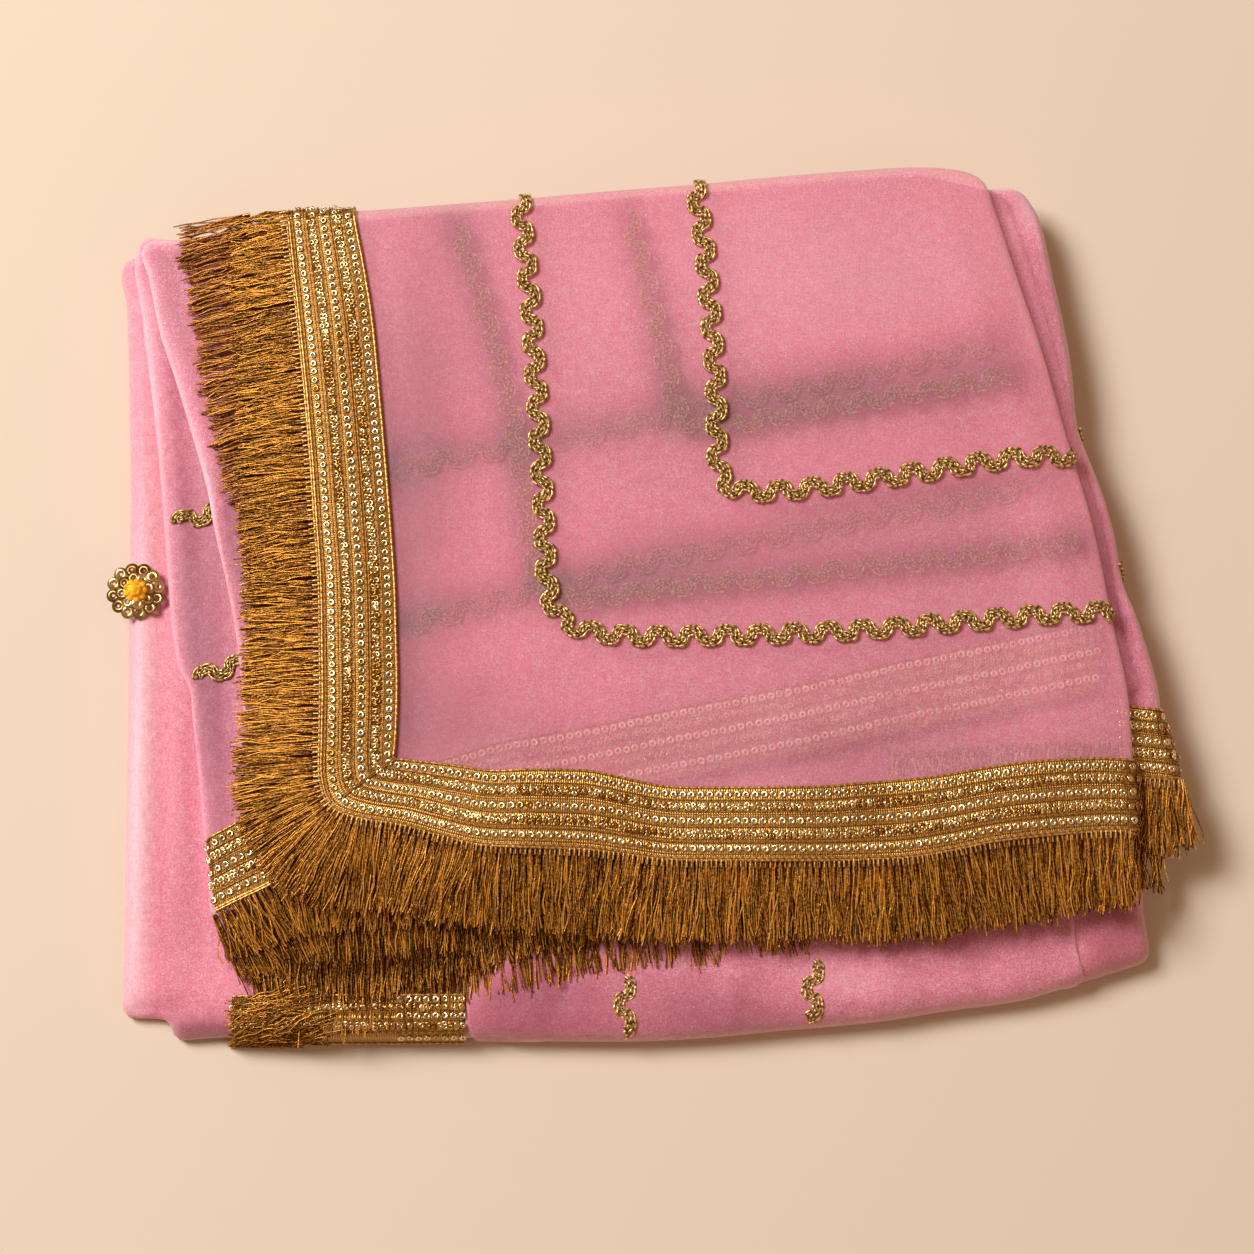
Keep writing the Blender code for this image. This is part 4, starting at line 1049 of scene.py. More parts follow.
@dataclass(frozen=True)
class BraidShadow:
    """Painted shadow: the dim band that a braid under the sheer cloth casts round itself."""

    path: Rows
    width: float
    strength: float

    def depth(self, xy: np.ndarray) -> np.ndarray:
        """How much the painted shadow deepens the cloth at each plan point."""
        gap, _ = near(rounded(self.path, 6.0)[:, :2], xy)
        return self.strength * np.exp(-((gap / self.width) ** 2))


# Painted shadows round the braids under the sheer top layer
HIDDEN_BRAID_SHADOWS = (
    BraidShadow(SECOND_OUTER_BRAID, 6.8, 0.6), BraidShadow(SECOND_INNER_BRAID, 6.8, 0.6),
    BraidShadow(THIRD_UPPER_BRAID, 8.0, 0.5), BraidShadow(THIRD_LOWER_BRAID, 8.0, 0.5),
)


@dataclass
class ClothLayer:
    """One layer of the folded stole that shows: a thin sheet laid on what is under it."""

    name: str
    layer: Layer
    finish: bpy.types.Material
    pitch: float
    shades: Rows = ()
    braid_shadows: tuple[BraidShadow, ...] = ()
    rim: float = 0.8
    fold_shade: float = 0.35
    plain: float = 116.0
    tuck: tuple[tuple[float, float], ...] = ((0.35, 0.5), (1.2, 0.9))

    def painted_shade(self, xy: np.ndarray) -> np.ndarray:
        """Painted shade at plan points, painted light below 0: the shade patches, the shadows of hidden
        braids, a painted highlight along the side folds and painted shade just inside them.
        """
        out = shaded(self.shades, xy)
        for braid_shadow in self.braid_shadows:
            out += braid_shadow.depth(xy)
        gap, drop, _ = self.layer.edge(xy)
        # Along the side folds: a painted highlight on the edge and painted shade a few millimetres inside it
        line = self.fold_shade * np.exp(-(((gap - 6.5) / 3.0) ** 2)) - self.rim * np.exp(-((gap / 1.7) ** 2))
        return out + line * (drop > 0.5) * (np.abs(xy[:, 0]) > self.plain)

    def build(self, node: str, *rests: str) -> None:
        """Builds the sheet with its edges rounded and tucked under.

        Args:
            node: The CAD node that it replaces.
            rests: Names of what it lies on. Not used.
        """
        layer = self.layer
        corners, faces = layer.filled([layer.radius * share for share in EDGE_RINGS], self.pitch)
        points, _ = layer.on(corners)
        fold = layer.rows[:, 2].clip(0.15, 2.5)
        high = points[:len(fold), 2]
        rings = [(inset * fold, np.maximum(0.15, high - fall * fold)) for inset, fall in self.tuck]
        points, _ = walled(points, faces, layer, rings)
        piece = make_mesh(self.name, points, faces, self.finish, marks={"tint": self.painted_shade(points[:, :2])})
        hand_over(piece, Slot.CLOTH, node)


@dataclass
class HiddenFolds:
    """The folds under the layers that show, with the edges of the cloth layered round them."""

    layer: Layer
    finish: bpy.types.Material
    pitch: float = 4.0
    leaf: float = 2.6
    groove: float = 1.5

    def grooves(self, edge: np.ndarray) -> list[tuple[np.ndarray, np.ndarray]]:
        """How far in each ring round the sides stands and its height, from the top down.

        Args:
            edge: Height of the rim's corners.

        Returns:
            Both values at each corner, for each ring.
        """
        along = np.arange(len(edge)) * self.layer.step
        rings = []
        for k, share in enumerate(np.linspace(1.0, 0.0, 26)[1:]):
            crest = abs(math.sin(math.pi * share * 14.0 / self.leaf)) ** 0.7
            uneven = 0.5 + 0.35 * np.sin(along / 41.0 + 1.7 * k) + 0.15 * np.sin(along / 13.0 - 0.9 * k)
            depth = 0.15 + self.groove * (1.0 - crest) * (0.45 + 0.55 * uneven)
            rings.append((depth + 2.2 * max(0.0, 0.12 - share) / 0.12, edge * share))
        return rings

    def build(self) -> None:
        """Builds the closed body of folds, flat underneath."""
        layer = self.layer
        corners, faces = layer.filled([layer.radius * share for share in EDGE_RINGS], self.pitch)
        points, _ = layer.on(corners)
        count = len(layer.rows)
        points, low = walled(points, faces, layer, self.grooves(points[:count, 2]))
        net = layer.net(self.pitch)
        base, floor_faces = triangles(points[low:, :2], net[layer.edge(net)[0] > 9.0][::7])
        points = np.vstack((points, np.column_stack((base[count:], np.zeros(len(base) - count)))))
        faces += [tuple(low + k for k in reversed(face)) for face in floor_faces]
        # Painted light on the outer left band and painted shade along the front, in the fold at left and in
        # the lower right corner
        marks = {"tint": shaded(CORE_SHADES, points[:, :2])}
        piece = make_mesh("hidden_folds", points, faces, self.finish, marks=marks)
        hand_over(piece, Slot.FOLDS, "cloth_core")


@dataclass
class FrontTurn:
    """The lowest turn of cloth along the front, laid over the folds and open at its right end."""

    layer: Layer
    finish: bpy.types.Material
    lift: float = 1.0
    pitch: float = 3.5
    roll: float = 1.2

    def build(self) -> None:
        """Builds the sheet on the folds' own form, its edge turned down onto them."""
        shape = Layer(FRONT_TURN, 0.0, 3.0)
        corners, faces = shape.filled([0.3, 0.9, 2.0, 3.2], self.pitch)
        inside = np.clip(shape.edge(corners)[0], 0.0, None) / self.roll
        lift = self.lift * np.sqrt(np.clip(1.0 - (1.0 - inside).clip(0.0, 1.0) ** 2, 0.0, 1.0)) + 0.12
        points, _ = self.layer.on(corners, lift)
        # Painted shade and light in patches, and a painted highlight along the sheet's turned edge
        marks = {"tint": shaded(FRONT_SHADES, points[:, :2]) - 0.5 * np.exp(-(inside**2))}
        piece = make_mesh("organza_front_turn", points, faces, self.finish, marks=marks)
        hand_over(piece, Slot.FOLDS)


class RepeatTree(NodePlan):
    """A small geometry tree that repeats or sweeps a shape, and is then made a plain mesh."""

    def __init__(self, name: str) -> None:
        """Starts an empty tree with a geometry socket at each end."""
        super().__init__(bpy.data.node_groups.new(name, "GeometryNodeTree"))
        for way in ("INPUT", "OUTPUT"):
            self.tree.interface.new_socket(name="Geometry", in_out=way, socket_type="NodeSocketGeometry")
        self.start = self.tree.nodes.new("NodeGroupInput")

    def size(self, name: str, kind: str = "Float") -> bpy.types.NodeSocket:
        """Adds a named input and returns its socket inside the tree."""
        self.tree.interface.new_socket(name=name, in_out="INPUT", socket_type="NodeSocket" + kind)
        return self.start.outputs[name]

    def close(self, shape: bpy.types.NodeSocket) -> None:
        """Ends the tree: real geometry that carries its finish."""
        solid = self.add("GeometryNodeRealizeInstances", {"Geometry": shape})
        dressed = self.add(
            "GeometryNodeSetMaterial", {"Geometry": solid, "Material": self.size("Finish", "Material")})
        self.fill(self.tree.nodes.new("NodeGroupOutput"), {0: dressed})

    def apply(self, source: bpy.types.Object, values: dict[str, object]) -> bpy.types.Object:
        """Runs the tree on an object and turns the result into a plain mesh.

        Args:
            source: The object whose mesh the tree starts from. It is removed.
            values: A value for each named input.

        Returns:
            A new object of the same name.
        """
        run = source.modifiers.new("repeat", "NODES")
        run.node_group = self.tree
        for item in self.tree.interface.items_tree:
            if item.item_type == "SOCKET" and item.in_out == "INPUT" and item.name in values:
                run[item.identifier] = values[item.name]
        bpy.context.view_layer.update()
        graph = bpy.context.evaluated_depsgraph_get()
        mesh = bpy.data.meshes.new_from_object(
            source.evaluated_get(graph), preserve_all_data_layers=True, depsgraph=graph)
        name, old = source.name, source.data
        bpy.data.objects.remove(source, do_unlink=True)
        bpy.data.meshes.remove(old)
        return show(name, mesh)


class Tubes(RepeatTree):
    """Round threads or cords swept along wires."""

    def __init__(self) -> None:
        """Builds the tree: wires to curves, each with a small round section."""
        super().__init__("thread_sweep")
        radius, sides = self.size("Radius"), self.size("Sides", "Int")
        wire = self.add("GeometryNodeMeshToCurve", {"Mesh": self.start.outputs[0]})
        ring = self.add("GeometryNodeCurvePrimitiveCircle", {"Resolution": sides, "Radius": radius})
        swept = self.add("GeometryNodeCurveToMesh", {"Curve": wire, "Profile Curve": ring, "Fill Caps": True})
        self.close(self.add("GeometryNodeSetShadeSmooth", {"Geometry": swept}))

    def sweep(
        self, lines: np.ndarray, tones: np.ndarray, radius: float, sides: int, finish: bpy.types.Material
    ) -> bpy.types.Object:
        """Sweeps threads of one thickness.

        Args:
            lines: Points of each thread, shaped threads by points by 3, in millimetres.
            tones: Tone of each thread, or of each of its points.
            radius: Thread radius in millimetres.
            sides: Sides of the section.
            finish: Its material.

        Returns:
            The threads as one mesh.
        """
        threads, length, _ = lines.shape
        starts = (np.arange(threads)[:, None] * length + np.arange(length - 1)[None, :]).ravel()
        edges = np.column_stack((starts, starts + 1)).tolist()
        tone = tones if tones.ndim == 2 else np.repeat(tones[:, None], length, axis=1)
        wire = make_mesh("threads", lines.reshape(-1, 3), [], None, edges, {"tone": tone.ravel()})
        return self.apply(wire, {"Radius": radius * MM, "Sides": sides, "Finish": finish})


@dataclass(frozen=True)
class Disc:
    """A punched sequin: its outer and hole radius, sides, greatest lean in degrees and foil thickness.

    The foil is thicker than the real film, so that it holds its shape.
    """

    outer: float
    hole: float
    sides: int
    tilt: float
    thick: float = 0.16


class Sequins(RepeatTree):
    """Punched rings set on points, each a little tilted."""

    def __init__(self) -> None:
        """Builds the tree: a flat ring on each point, turned to the cloth there."""
        super().__init__("sequin_rows")
        middle, wide, thick, tilt = (
            self.size(name) for name in ("Middle radius", "Ring width", "Foil thickness", "Tilt"))
        sides, seed = self.size("Sides", "Int"), self.size("Seed", "Int")
        path = self.add("GeometryNodeCurvePrimitiveCircle", {"Resolution": sides, "Radius": middle})
        flat = self.add("GeometryNodeCurvePrimitiveQuadrilateral", {"Width": wide, "Height": thick})
        ring = self.add("GeometryNodeCurveToMesh", {"Curve": path, "Profile Curve": flat})
        up, along = (
            self.add("GeometryNodeInputNamedAttribute", {"Name": name}, data_type="FLOAT_VECTOR")
            for name in ("up", "along"))
        stand = self.add("FunctionNodeAlignRotationToVector", {"Vector": up}, axis="Z")
        turned = self.add(
            "FunctionNodeAlignRotationToVector", {"Rotation": stand, "Vector": along},
            axis="X", pivot_axis="Z")
        low = self.add("ShaderNodeMath", {0: tilt, 1: -1.0}, operation="MULTIPLY")
        down, top = (
            self.add("ShaderNodeCombineXYZ", {"X": most, "Y": most, "Z": 0.0}) for most in (low, tilt))
        lean = self.add("FunctionNodeRandomValue", {0: down, 1: top, "Seed": seed}, data_type="FLOAT_VECTOR")
        lean = self.add("FunctionNodeEulerToRotation", {"Euler": lean})
        placed = self.add(
            "FunctionNodeRotateRotation", {"Rotation": turned, "Rotate By": lean}, rotation_space="LOCAL")
        points = {"Points": self.start.outputs[0], "Instance": ring, "Rotation": placed}
        self.close(self.add("GeometryNodeInstanceOnPoints", points))

    def sew(
        self, spots: np.ndarray, up: np.ndarray, along: np.ndarray, tones: np.ndarray, disc: Disc,
        finish: bpy.types.Material,
    ) -> bpy.types.Object:
        """Sets sequins on points.

        Args:
            spots: Middle of each sequin, in millimetres.
            up: The cloth's normal at each.
            along: Direction of the row at each.
            tones: Tone of each.
            disc: The sequin.
            finish: Its material.

        Returns:
            The sequins as one mesh.
        """
        source = make_mesh("sequins", spots, [], None, marks={"up": up, "along": along, "tone": tones})
        return self.apply(source, {
            "Middle radius": (disc.outer + disc.hole) / 2.0 * MM, "Ring width": (disc.outer - disc.hole) * MM,
            "Foil thickness": disc.thick * MM, "Sides": disc.sides, "Tilt": math.radians(disc.tilt),
            "Seed": len(spots), "Finish": finish,
        })


def join(name: str, parts: list[bpy.types.Object], slot: Slot, *nodes: str) -> None:
    """Joins parts into one piece with all their finishes, and hands it over.

    Args:
        name: Name of the joined piece.
        parts: The parts.
        slot: The record's material slot.
        nodes: CAD nodes that it replaces.
    """
    bpy.ops.object.select_all(action="DESELECT")
    for part in parts:
        part.select_set(True)
    bpy.context.view_layer.objects.active = parts[0]
    bpy.ops.object.join()
    made = bpy.context.view_layer.objects.active
    made.name = made.data.name = name
    hand_over(made, slot, *nodes)


@dataclass
class TrimKit:
    """The finishes and geometry trees that the borders, braids and fringes share."""

    lurex: bpy.types.Material
    foil: bpy.types.Material
    glitter: bpy.types.Material
    piping: bpy.types.Material
    seam: bpy.types.Material
    braid: bpy.types.Material
    veiled: bpy.types.Material
    thread: bpy.types.Material
    shaded: bpy.types.Material
    tubes: Tubes = field(default_factory=Tubes)
    sequins: Sequins = field(default_factory=Sequins)


@dataclass
class SequinBorder:
    """A 25 mm ribbon: lurex ground, ribs, three rows of ring sequins, two of glitter and corded edges."""

    name: str
    layer: Layer
    ladder: Rows
    kit: TrimKit
    lift: float = 0.75
    ring_rows: tuple[float, ...] = (0.168, 0.54, 0.896)
    glitter_rows: tuple[float, ...] = (0.345, 0.385, 0.71, 0.75)
    ribs: tuple[float, ...] = (0.09, 0.25, 0.29, 0.455, 0.625, 0.66, 0.82)
    edges: tuple[float, ...] = (0.012, 0.045, 0.988)
    ring: Disc = Disc(1.18, 0.42, 12, 9.0)
    ring_pitch: float = 2.95
    glitter: Disc = Disc(1.05, 0.34, 8, 16.0)
    glitter_pitch: float = 1.9
    painted_light_along_x: float = 0.16
    shine_run: float = 17.0
    mitre: int | None = None
    bare_until: float = NOWHERE
    width: float = 25.0
    across: int = 30
    seed: int = 3

    def track(self, share: float, step: float) -> np.ndarray:
        """Plan points along the border at one share of its width."""
        rows = rounded(self.ladder, 2.0)
        return even(rows[:, 0:2] * (1.0 - share) + rows[:, 2:4] * share, step)

    def ribbon(self) -> bpy.types.Object:
        """Builds the ribbon itself, ribbed above and closed."""
        rows, wide = rounded(self.ladder, 2.0), self.across
        shares = np.linspace(0.0, 1.0, wide)
        swell = 0.16 * (1.0 - np.cos(2.0 * np.pi * shares * 9.0))
        plan = rows[:, None, 0:2] * (1.0 - shares)[None, :, None] + rows[:, None, 2:4] * shares[None, :, None]
        flat = plan.reshape(-1, 2)
        top, _ = self.layer.on(flat, np.tile(self.lift + swell, len(rows)))
        low, _ = self.layer.on(flat, 0.25)
        total = len(flat)
        end = total - wide
        faces = []
        for a in range(0, end, wide):
            b = a + wide
            for k in range(wide - 1):
                faces.append((a + k, b + k, b + k + 1, a + k + 1))
                faces.append((total + a + k, total + a + k + 1, total + b + k + 1, total + b + k))
            faces.append((a, total + a, total + b, b))
            faces.append((b - 1, b + wide - 1, total + b + wide - 1, total + b - 1))
        for k in range(wide - 1):
            faces.append((k, k + 1, total + k + 1, total + k))
            faces.append((end + k, total + end + k, total + end + k + 1, end + k + 1))
        body = make_mesh("ribbon", np.vstack((top, low)), faces, self.kit.lurex)
        weave = body.data.uv_layers.new(name="weave")
        grid = np.column_stack((np.repeat(walked(rows), wide), np.tile(shares * self.width, len(rows)))) * MM
        corner = np.empty(len(body.data.loops), dtype=np.int32)
        body.data.loops.foreach_get("vertex_index", corner)
        weave.data.foreach_set("uv", grid[corner % total].astype(np.float32).ravel())
        return body

    def row(
        self, share: float, pitch: float, lift: float, shift: float
    ) -> tuple[np.ndarray, np.ndarray, np.ndarray, np.ndarray]:
        """One row of sequins.

        Args:
            share: Where it lies across the border.
            pitch: Distance between them.
            lift: How far they stand above the ribbon.
            shift: Where the row's pattern of shine starts.

        Returns:
            Middles, normals and directions, and a tone of painted light, higher in slow
            waves along the row and where the row runs along x.
        """
        spots, up = self.layer.on(self.track(share, pitch), self.lift + lift)
        run = np.gradient(spots, axis=0)
        run = run / np.linalg.norm(run, axis=1, keepdims=True)
        # Painted light: the tone rises in slow waves along the row, and more where the row runs along x
        along = np.arange(len(spots)) * pitch / self.shine_run
        slow = np.sin(along + shift) + 0.6 * np.sin(along / 0.37 + 2.0 * shift)
        return spots, up, run, np.clip(0.62 + 0.34 * slow, 0.0, 1.0) + self.painted_light_along_x * np.abs(run[:, 0])

    def corner_fold(self, chance: np.random.Generator) -> list[bpy.types.Object]:
        """The mitre where the ribbon folds round the cloth's corner: a lapped edge from outside to inside."""
        if self.mitre is None:
            return []
        row = np.array(self.ladder[self.mitre], dtype=float)
        share = np.linspace(0.2, 0.99, 24)[:, None]
        line = row[None, 0:2] * (1.0 - share) + row[None, 2:4] * share
        parts = []
        for shift, rise in ((0.0, 0.7), (0.55, 0.6)):
            spots, _ = self.layer.on(line + (shift, -shift * 0.4), self.lift + rise)
            tone = chance.uniform(0.0, 0.6, (1, len(line)))
            parts.append(self.kit.tubes.sweep(spots[None], tone, 0.26, 5, self.kit.seam))
        return parts

    def build(self, *nodes: str) -> None:
        """Builds the whole border as one piece."""
        chance = np.random.default_rng(self.seed)
        parts = [self.ribbon()] + self.corner_fold(chance)
        cords = [(share, 0.3, 0.22, self.kit.seam) for share in self.ribs]
        cords += [(share, 0.5, 0.35, self.kit.piping) for share in self.edges]
        for share, radius, rise, finish in cords:
            spots, _ = self.layer.on(self.track(share, 0.75), self.lift + rise)
            tone = 0.4 + 0.45 * np.sin(np.arange(len(spots)) * 2.2)[None, :]
            parts.append(self.kit.tubes.sweep(spots[None], tone, radius, 5, finish))
        for k, share in enumerate(self.ring_rows):
            spots, up, run, tone = self.row(share, self.ring_pitch, 0.55, 1.3 * k)
            spots[:, :2] += chance.normal(0.0, 0.07, (len(spots), 2))
            tone = np.clip(tone + chance.normal(0.1, 0.2, len(spots)), 0, 1)
            sewn = spots[:, 0] > self.bare_until
            parts.append(self.kit.sequins.sew(
                spots[sewn], up[sewn], run[sewn], tone[sewn], self.ring, self.kit.foil))
        for k, share in enumerate(self.glitter_rows):
            spots, up, run, tone = self.row(share, self.glitter_pitch, 0.6, 0.6 + 0.9 * (k // 2))
            spots[:, :2] += chance.uniform(-0.3, 0.3, (len(spots), 2))
            up = up + run * 0.35
            up /= np.linalg.norm(up, axis=1, keepdims=True)
            tone = np.clip(tone + chance.normal(-0.1, 0.4, len(spots)), 0, 1)
            parts.append(self.kit.sequins.sew(spots, up, run, tone, self.glitter, self.kit.glitter))
        join(self.name, parts, Slot.LACE, *nodes)


@dataclass
class WavyBraid:
    """A flat wavy braid: two twisted outer cords with three plaited cords between them."""

    name: str
    layer: Layer
    path: Rows
    kit: TrimKit
    finish: bpy.types.Material
    lift: float = 1.0
    bare_until: float = NOWHERE
    step: float = 0.42
    sides: int = 5
    wave: float = 11.2
    swing: float = 2.12
    bulge: float = 0.5
    half_band: float = 1.52
    cord: float = 0.45
    plait: float = 3.4
    twist: float = 1.5

    def middle(self) -> np.ndarray:
        """Plan points along the middle of the band: round arcs to one side and the other in turn."""
        spine = rounded(self.path, 0.5)
        run, side = courses(spine)
        turn = 2.0 * np.pi * np.arange(len(spine)) * 0.5 / self.wave
        arch = self.swing * (np.sin(turn) + 0.12 * np.sin(3.0 * turn))
        plan = spine[:, :2] + side * arch[:, None] - run * (self.bulge * np.sin(2.0 * turn))[:, None]
        return even(plan, self.step)

    def build(self, *nodes: str) -> None:
        """Builds the braid's five cords as one piece."""
        middle = self.middle()
        _, side = courses(middle)
        length = np.arange(len(middle)) * self.step
        phase = 2.0 * np.pi * length / self.plait
        cords, tones = [], []
        for k, (base, reach, rise, beat) in enumerate((
            (-self.half_band, 0.1, 0.16, 0.0), (self.half_band, 0.1, 0.16, 1.1),
            (-0.56, 0.44, 0.3, 0.4), (0.0, 0.44, 0.3, 1.0), (0.56, 0.44, 0.3, 1.6),
        )):
            offset = base + reach * np.sin(phase + 2.1 * k)
            height = self.lift + 0.1 + rise * np.cos(phase + 2.1 * k + 1.2)
            cords.append(self.layer.on(middle + side * offset[:, None], height)[0])
            strand = np.cos(2.0 * np.pi * length / self.twist + beat * np.pi)
            tones.append(0.42 + 0.55 * strand + (0.16 if k < 2 else -0.04))
        lines, shine = np.array(cords), np.clip(np.array(tones), 0.0, 1.0)
        bare = int((middle[:, 0] < self.bare_until).sum())
        stretches = [(slice(bare, None), self.finish)]
        if bare > 1:
            stretches.append((slice(0, bare + 1), self.kit.braid))
        join(self.name, [
            self.kit.tubes.sweep(lines[:, part], shine[:, part], self.cord, self.sides, finish)
            for part, finish in stretches
        ], Slot.BRAID, *nodes)


@dataclass(frozen=True)
class Tier:
    """One row of a fringe: what sets it apart from the longest and lowest one.

    The threads of a lower tier are in shade up to the last stretch, which the
    tier above leaves bare.
    """

    threads: int
    shorter: float = 0.0
    higher: float = 0.0
    tone: float = 0.0
    bare: float = 0.0


@dataclass
class BrushFringe:
    """A brush fringe: bundles of fine gold threads that hang from the border's edge and fray at the tips."""

    name: str
    rows: Rows
    levels: tuple[float, ...]
    kit: TrimKit
    seed: int
    tiers: tuple[Tier, ...]
    finish: bpy.types.Material
    bundle: float = 2.4
    radius: float = 0.28
    root_spread: float = 0.62
    tip_spread: float = 1.7
    depth: float = 1.3
    wander: float = 0.6
    parts: int = 7

    def strands(self, tier: Tier, chance: np.random.Generator) -> tuple[np.ndarray, np.ndarray]:
        """Points and tones of the threads of one tier.

        Args:
            tier: The tier.
            chance: Source of the threads' unevenness.

        Returns:
            Points, shaped threads by points by 3, and a tone for each point.
        """
        path = rounded(self.rows, self.bundle)
        out = -courses(path)[1]
        tips = path[:, :2] + out * path[:, 2:3]
        widen = np.clip(np.linalg.norm(np.gradient(tips, axis=0), axis=1) / self.bundle, 1.0, 4.0)
        counts = np.round(tier.threads * widen).astype(int)
        total = int(counts.sum())

        def each(values: np.ndarray) -> np.ndarray:
            """Gives every thread its bundle's value."""
            return np.repeat(values, counts, axis=0)

        root, away, wide = each(path[:, :2]), each(out), each(widen)
        side = np.column_stack((-away[:, 1], away[:, 0]))
        bundle_lean = each(chance.normal(0.0, 0.8, len(path)))
        bundle_size = each(chance.normal(1.0, 0.025, len(path)))
        spot = chance.uniform(-1.0, 1.0, total)
        layer_in = chance.uniform(0.0, 1.0, total)
        length = (each(path[:, 2]) - tier.shorter) * bundle_size * chance.normal(1.0, 0.05, total)
        stray = chance.random(total) < 0.06
        lean = bundle_lean + chance.normal(0.0, 0.75, total) + stray * chance.normal(0.0, 2.8, total)
        wave_a, wave_b = chance.uniform(0.0, 2.0 * math.pi, (2, total))
        wave_size = self.wander * chance.uniform(0.3, 1.5, total)
        t = np.linspace(0.0, 1.0, self.parts)
        lines = np.zeros((total, self.parts, 3))
        grid = np.linspace(0.0, 1.0, len(self.levels))
        for k, share in enumerate(t):
            spread = self.root_spread + (self.tip_spread * wide - self.root_spread) * share
            loose = min(1.0, share * 2.5)
            curl = wave_size * (np.sin(wave_a + 6.0 * share) + 0.6 * np.sin(wave_b + 13.0 * share)) * loose
            across = spot * spread + lean * share**1.3 + curl
            plan = root + away * (-0.4 + (length + 0.4) * share)[:, None] + side * across[:, None]
            level = float(np.interp(share, grid, self.levels)) + tier.higher
            fan = (layer_in - 0.5) * self.depth * (0.55 + 0.9 * share)
            high = np.maximum(0.3, ground(plan) + level + fan + 0.25 * np.sin(wave_b + 8.0 * share))
            lines[:, k] = np.column_stack((plan, high))
        # Tones: one thread in five painted bright as a highlight, deeper threads darker as painted shade,
        # painted glints along each thread, and painted shade near the roots
        bright = chance.random(total) < 0.2
        tone = 0.06 + 0.4 * layer_in**1.4 + 0.56 * bright + chance.normal(0.0, 0.1, total) + tier.tone
        glint = 0.24 * np.sin(wave_a[:, None] * 3.0 + 9.0 * t[None, :])
        tones = tone[:, None] + glint - 0.25 * (1.0 - ease(t[None, :] / 0.22))
        # Painted shade on a lower tier's threads, up to the last stretch that the tier above leaves bare
        if tier.bare > 0.0:
            left = length[:, None] * (1.0 - t[None, :])
            tones = tones - 0.6 * ease((left - tier.bare * 0.55) / (tier.bare * 0.45))
        return lines, np.clip(tones, 0.0, 1.0)

    def teeth(self, chance: np.random.Generator) -> bpy.types.Object:
        """The short gathered roots of the bundles, bound to the border's edge."""
        path = rounded(self.rows, self.bundle / 1.5)
        out, foot = -courses(path)[1], path[:, :2]
        high = ground(foot) + self.levels[0] + 0.75
        tooth = np.stack([
            np.column_stack((foot + out * reach, high - fall))
            for reach, fall in ((-0.6, 0.0), (0.7, 0.0), (1.9, 0.35))
        ], axis=1)
        return self.kit.tubes.sweep(tooth, chance.uniform(0.3, 0.9, len(path)), 0.34, 4, self.kit.piping)

    def build(self, *nodes: str) -> None:
        """Builds all the threads and the teeth at their roots as one piece."""
        chance = np.random.default_rng(self.seed)
        parts = []
        for tier in self.tiers:
            parts.append(self.kit.tubes.sweep(*self.strands(tier, chance), self.radius, 3, self.finish))
        join(self.name, parts + [self.teeth(chance)], Slot.THREAD, *nodes)


@dataclass
class SideSweep:
    """Loose threads of the lowest fringe that lie along the folded front edge, over the border there."""

    layer: Layer
    kit: TrimKit
    count: int = 135
    right: float = -104.0
    left: float = -141.5
    low: float = -146.2
    high: float = -131.0
    parts: int = 9
    seed: int = 21

    def build(self) -> None:
        """Builds the threads as one piece."""
        chance = np.random.default_rng(self.seed)
        share = np.linspace(0.0, 1.0, self.parts)
        bunch = chance.choice((0.12, 0.3, 0.62, 0.86), self.count)
        row = np.clip(bunch + chance.normal(0.0, 0.055, self.count), 0.0, 1.0)[:, None]
        end = self.left + chance.uniform(0.0, 9.0, self.count)[:, None] ** 1.3 * 0.6
        size = chance.uniform(12.0, 34.0, self.count)[:, None]
        fall = chance.normal(4.0, 3.0, self.count)[:, None]
        phase = chance.uniform(0.0, 2.0 * math.pi, self.count)[:, None]
        x = np.minimum(end + size * (1.0 - share), self.right + 4.0 * np.sin(phase) - 10.0 * row)
        y = self.low + (self.high - self.low) * row + fall * (0.6 - share)
        y = y + 0.9 * np.sin(phase + 6.0 * share) + 0.5 * np.sin(2.3 * phase + 14.0 * share)
        spots = np.column_stack((x.ravel(), np.maximum(y, self.low).ravel()))
        lift = 2.0 + 1.1 * np.repeat(chance.random(self.count), self.parts)
        points, _ = self.layer.on(spots, lift)
        points[:, 2] = np.maximum(points[:, 2], 0.5)
        tone = 0.1 + 0.35 * chance.random(self.count) + 0.45 * (chance.random(self.count) < 0.25)
        tones = np.clip(tone[:, None] + 0.2 * np.sin(phase + 9.0 * share), 0.0, 1.0)
        lines = points.reshape(self.count, self.parts, 3)
        threads = self.kit.tubes.sweep(lines, tones, 0.24, 3, self.kit.thread)
        join("brush_fringe_lower_sweep", [threads], Slot.THREAD)


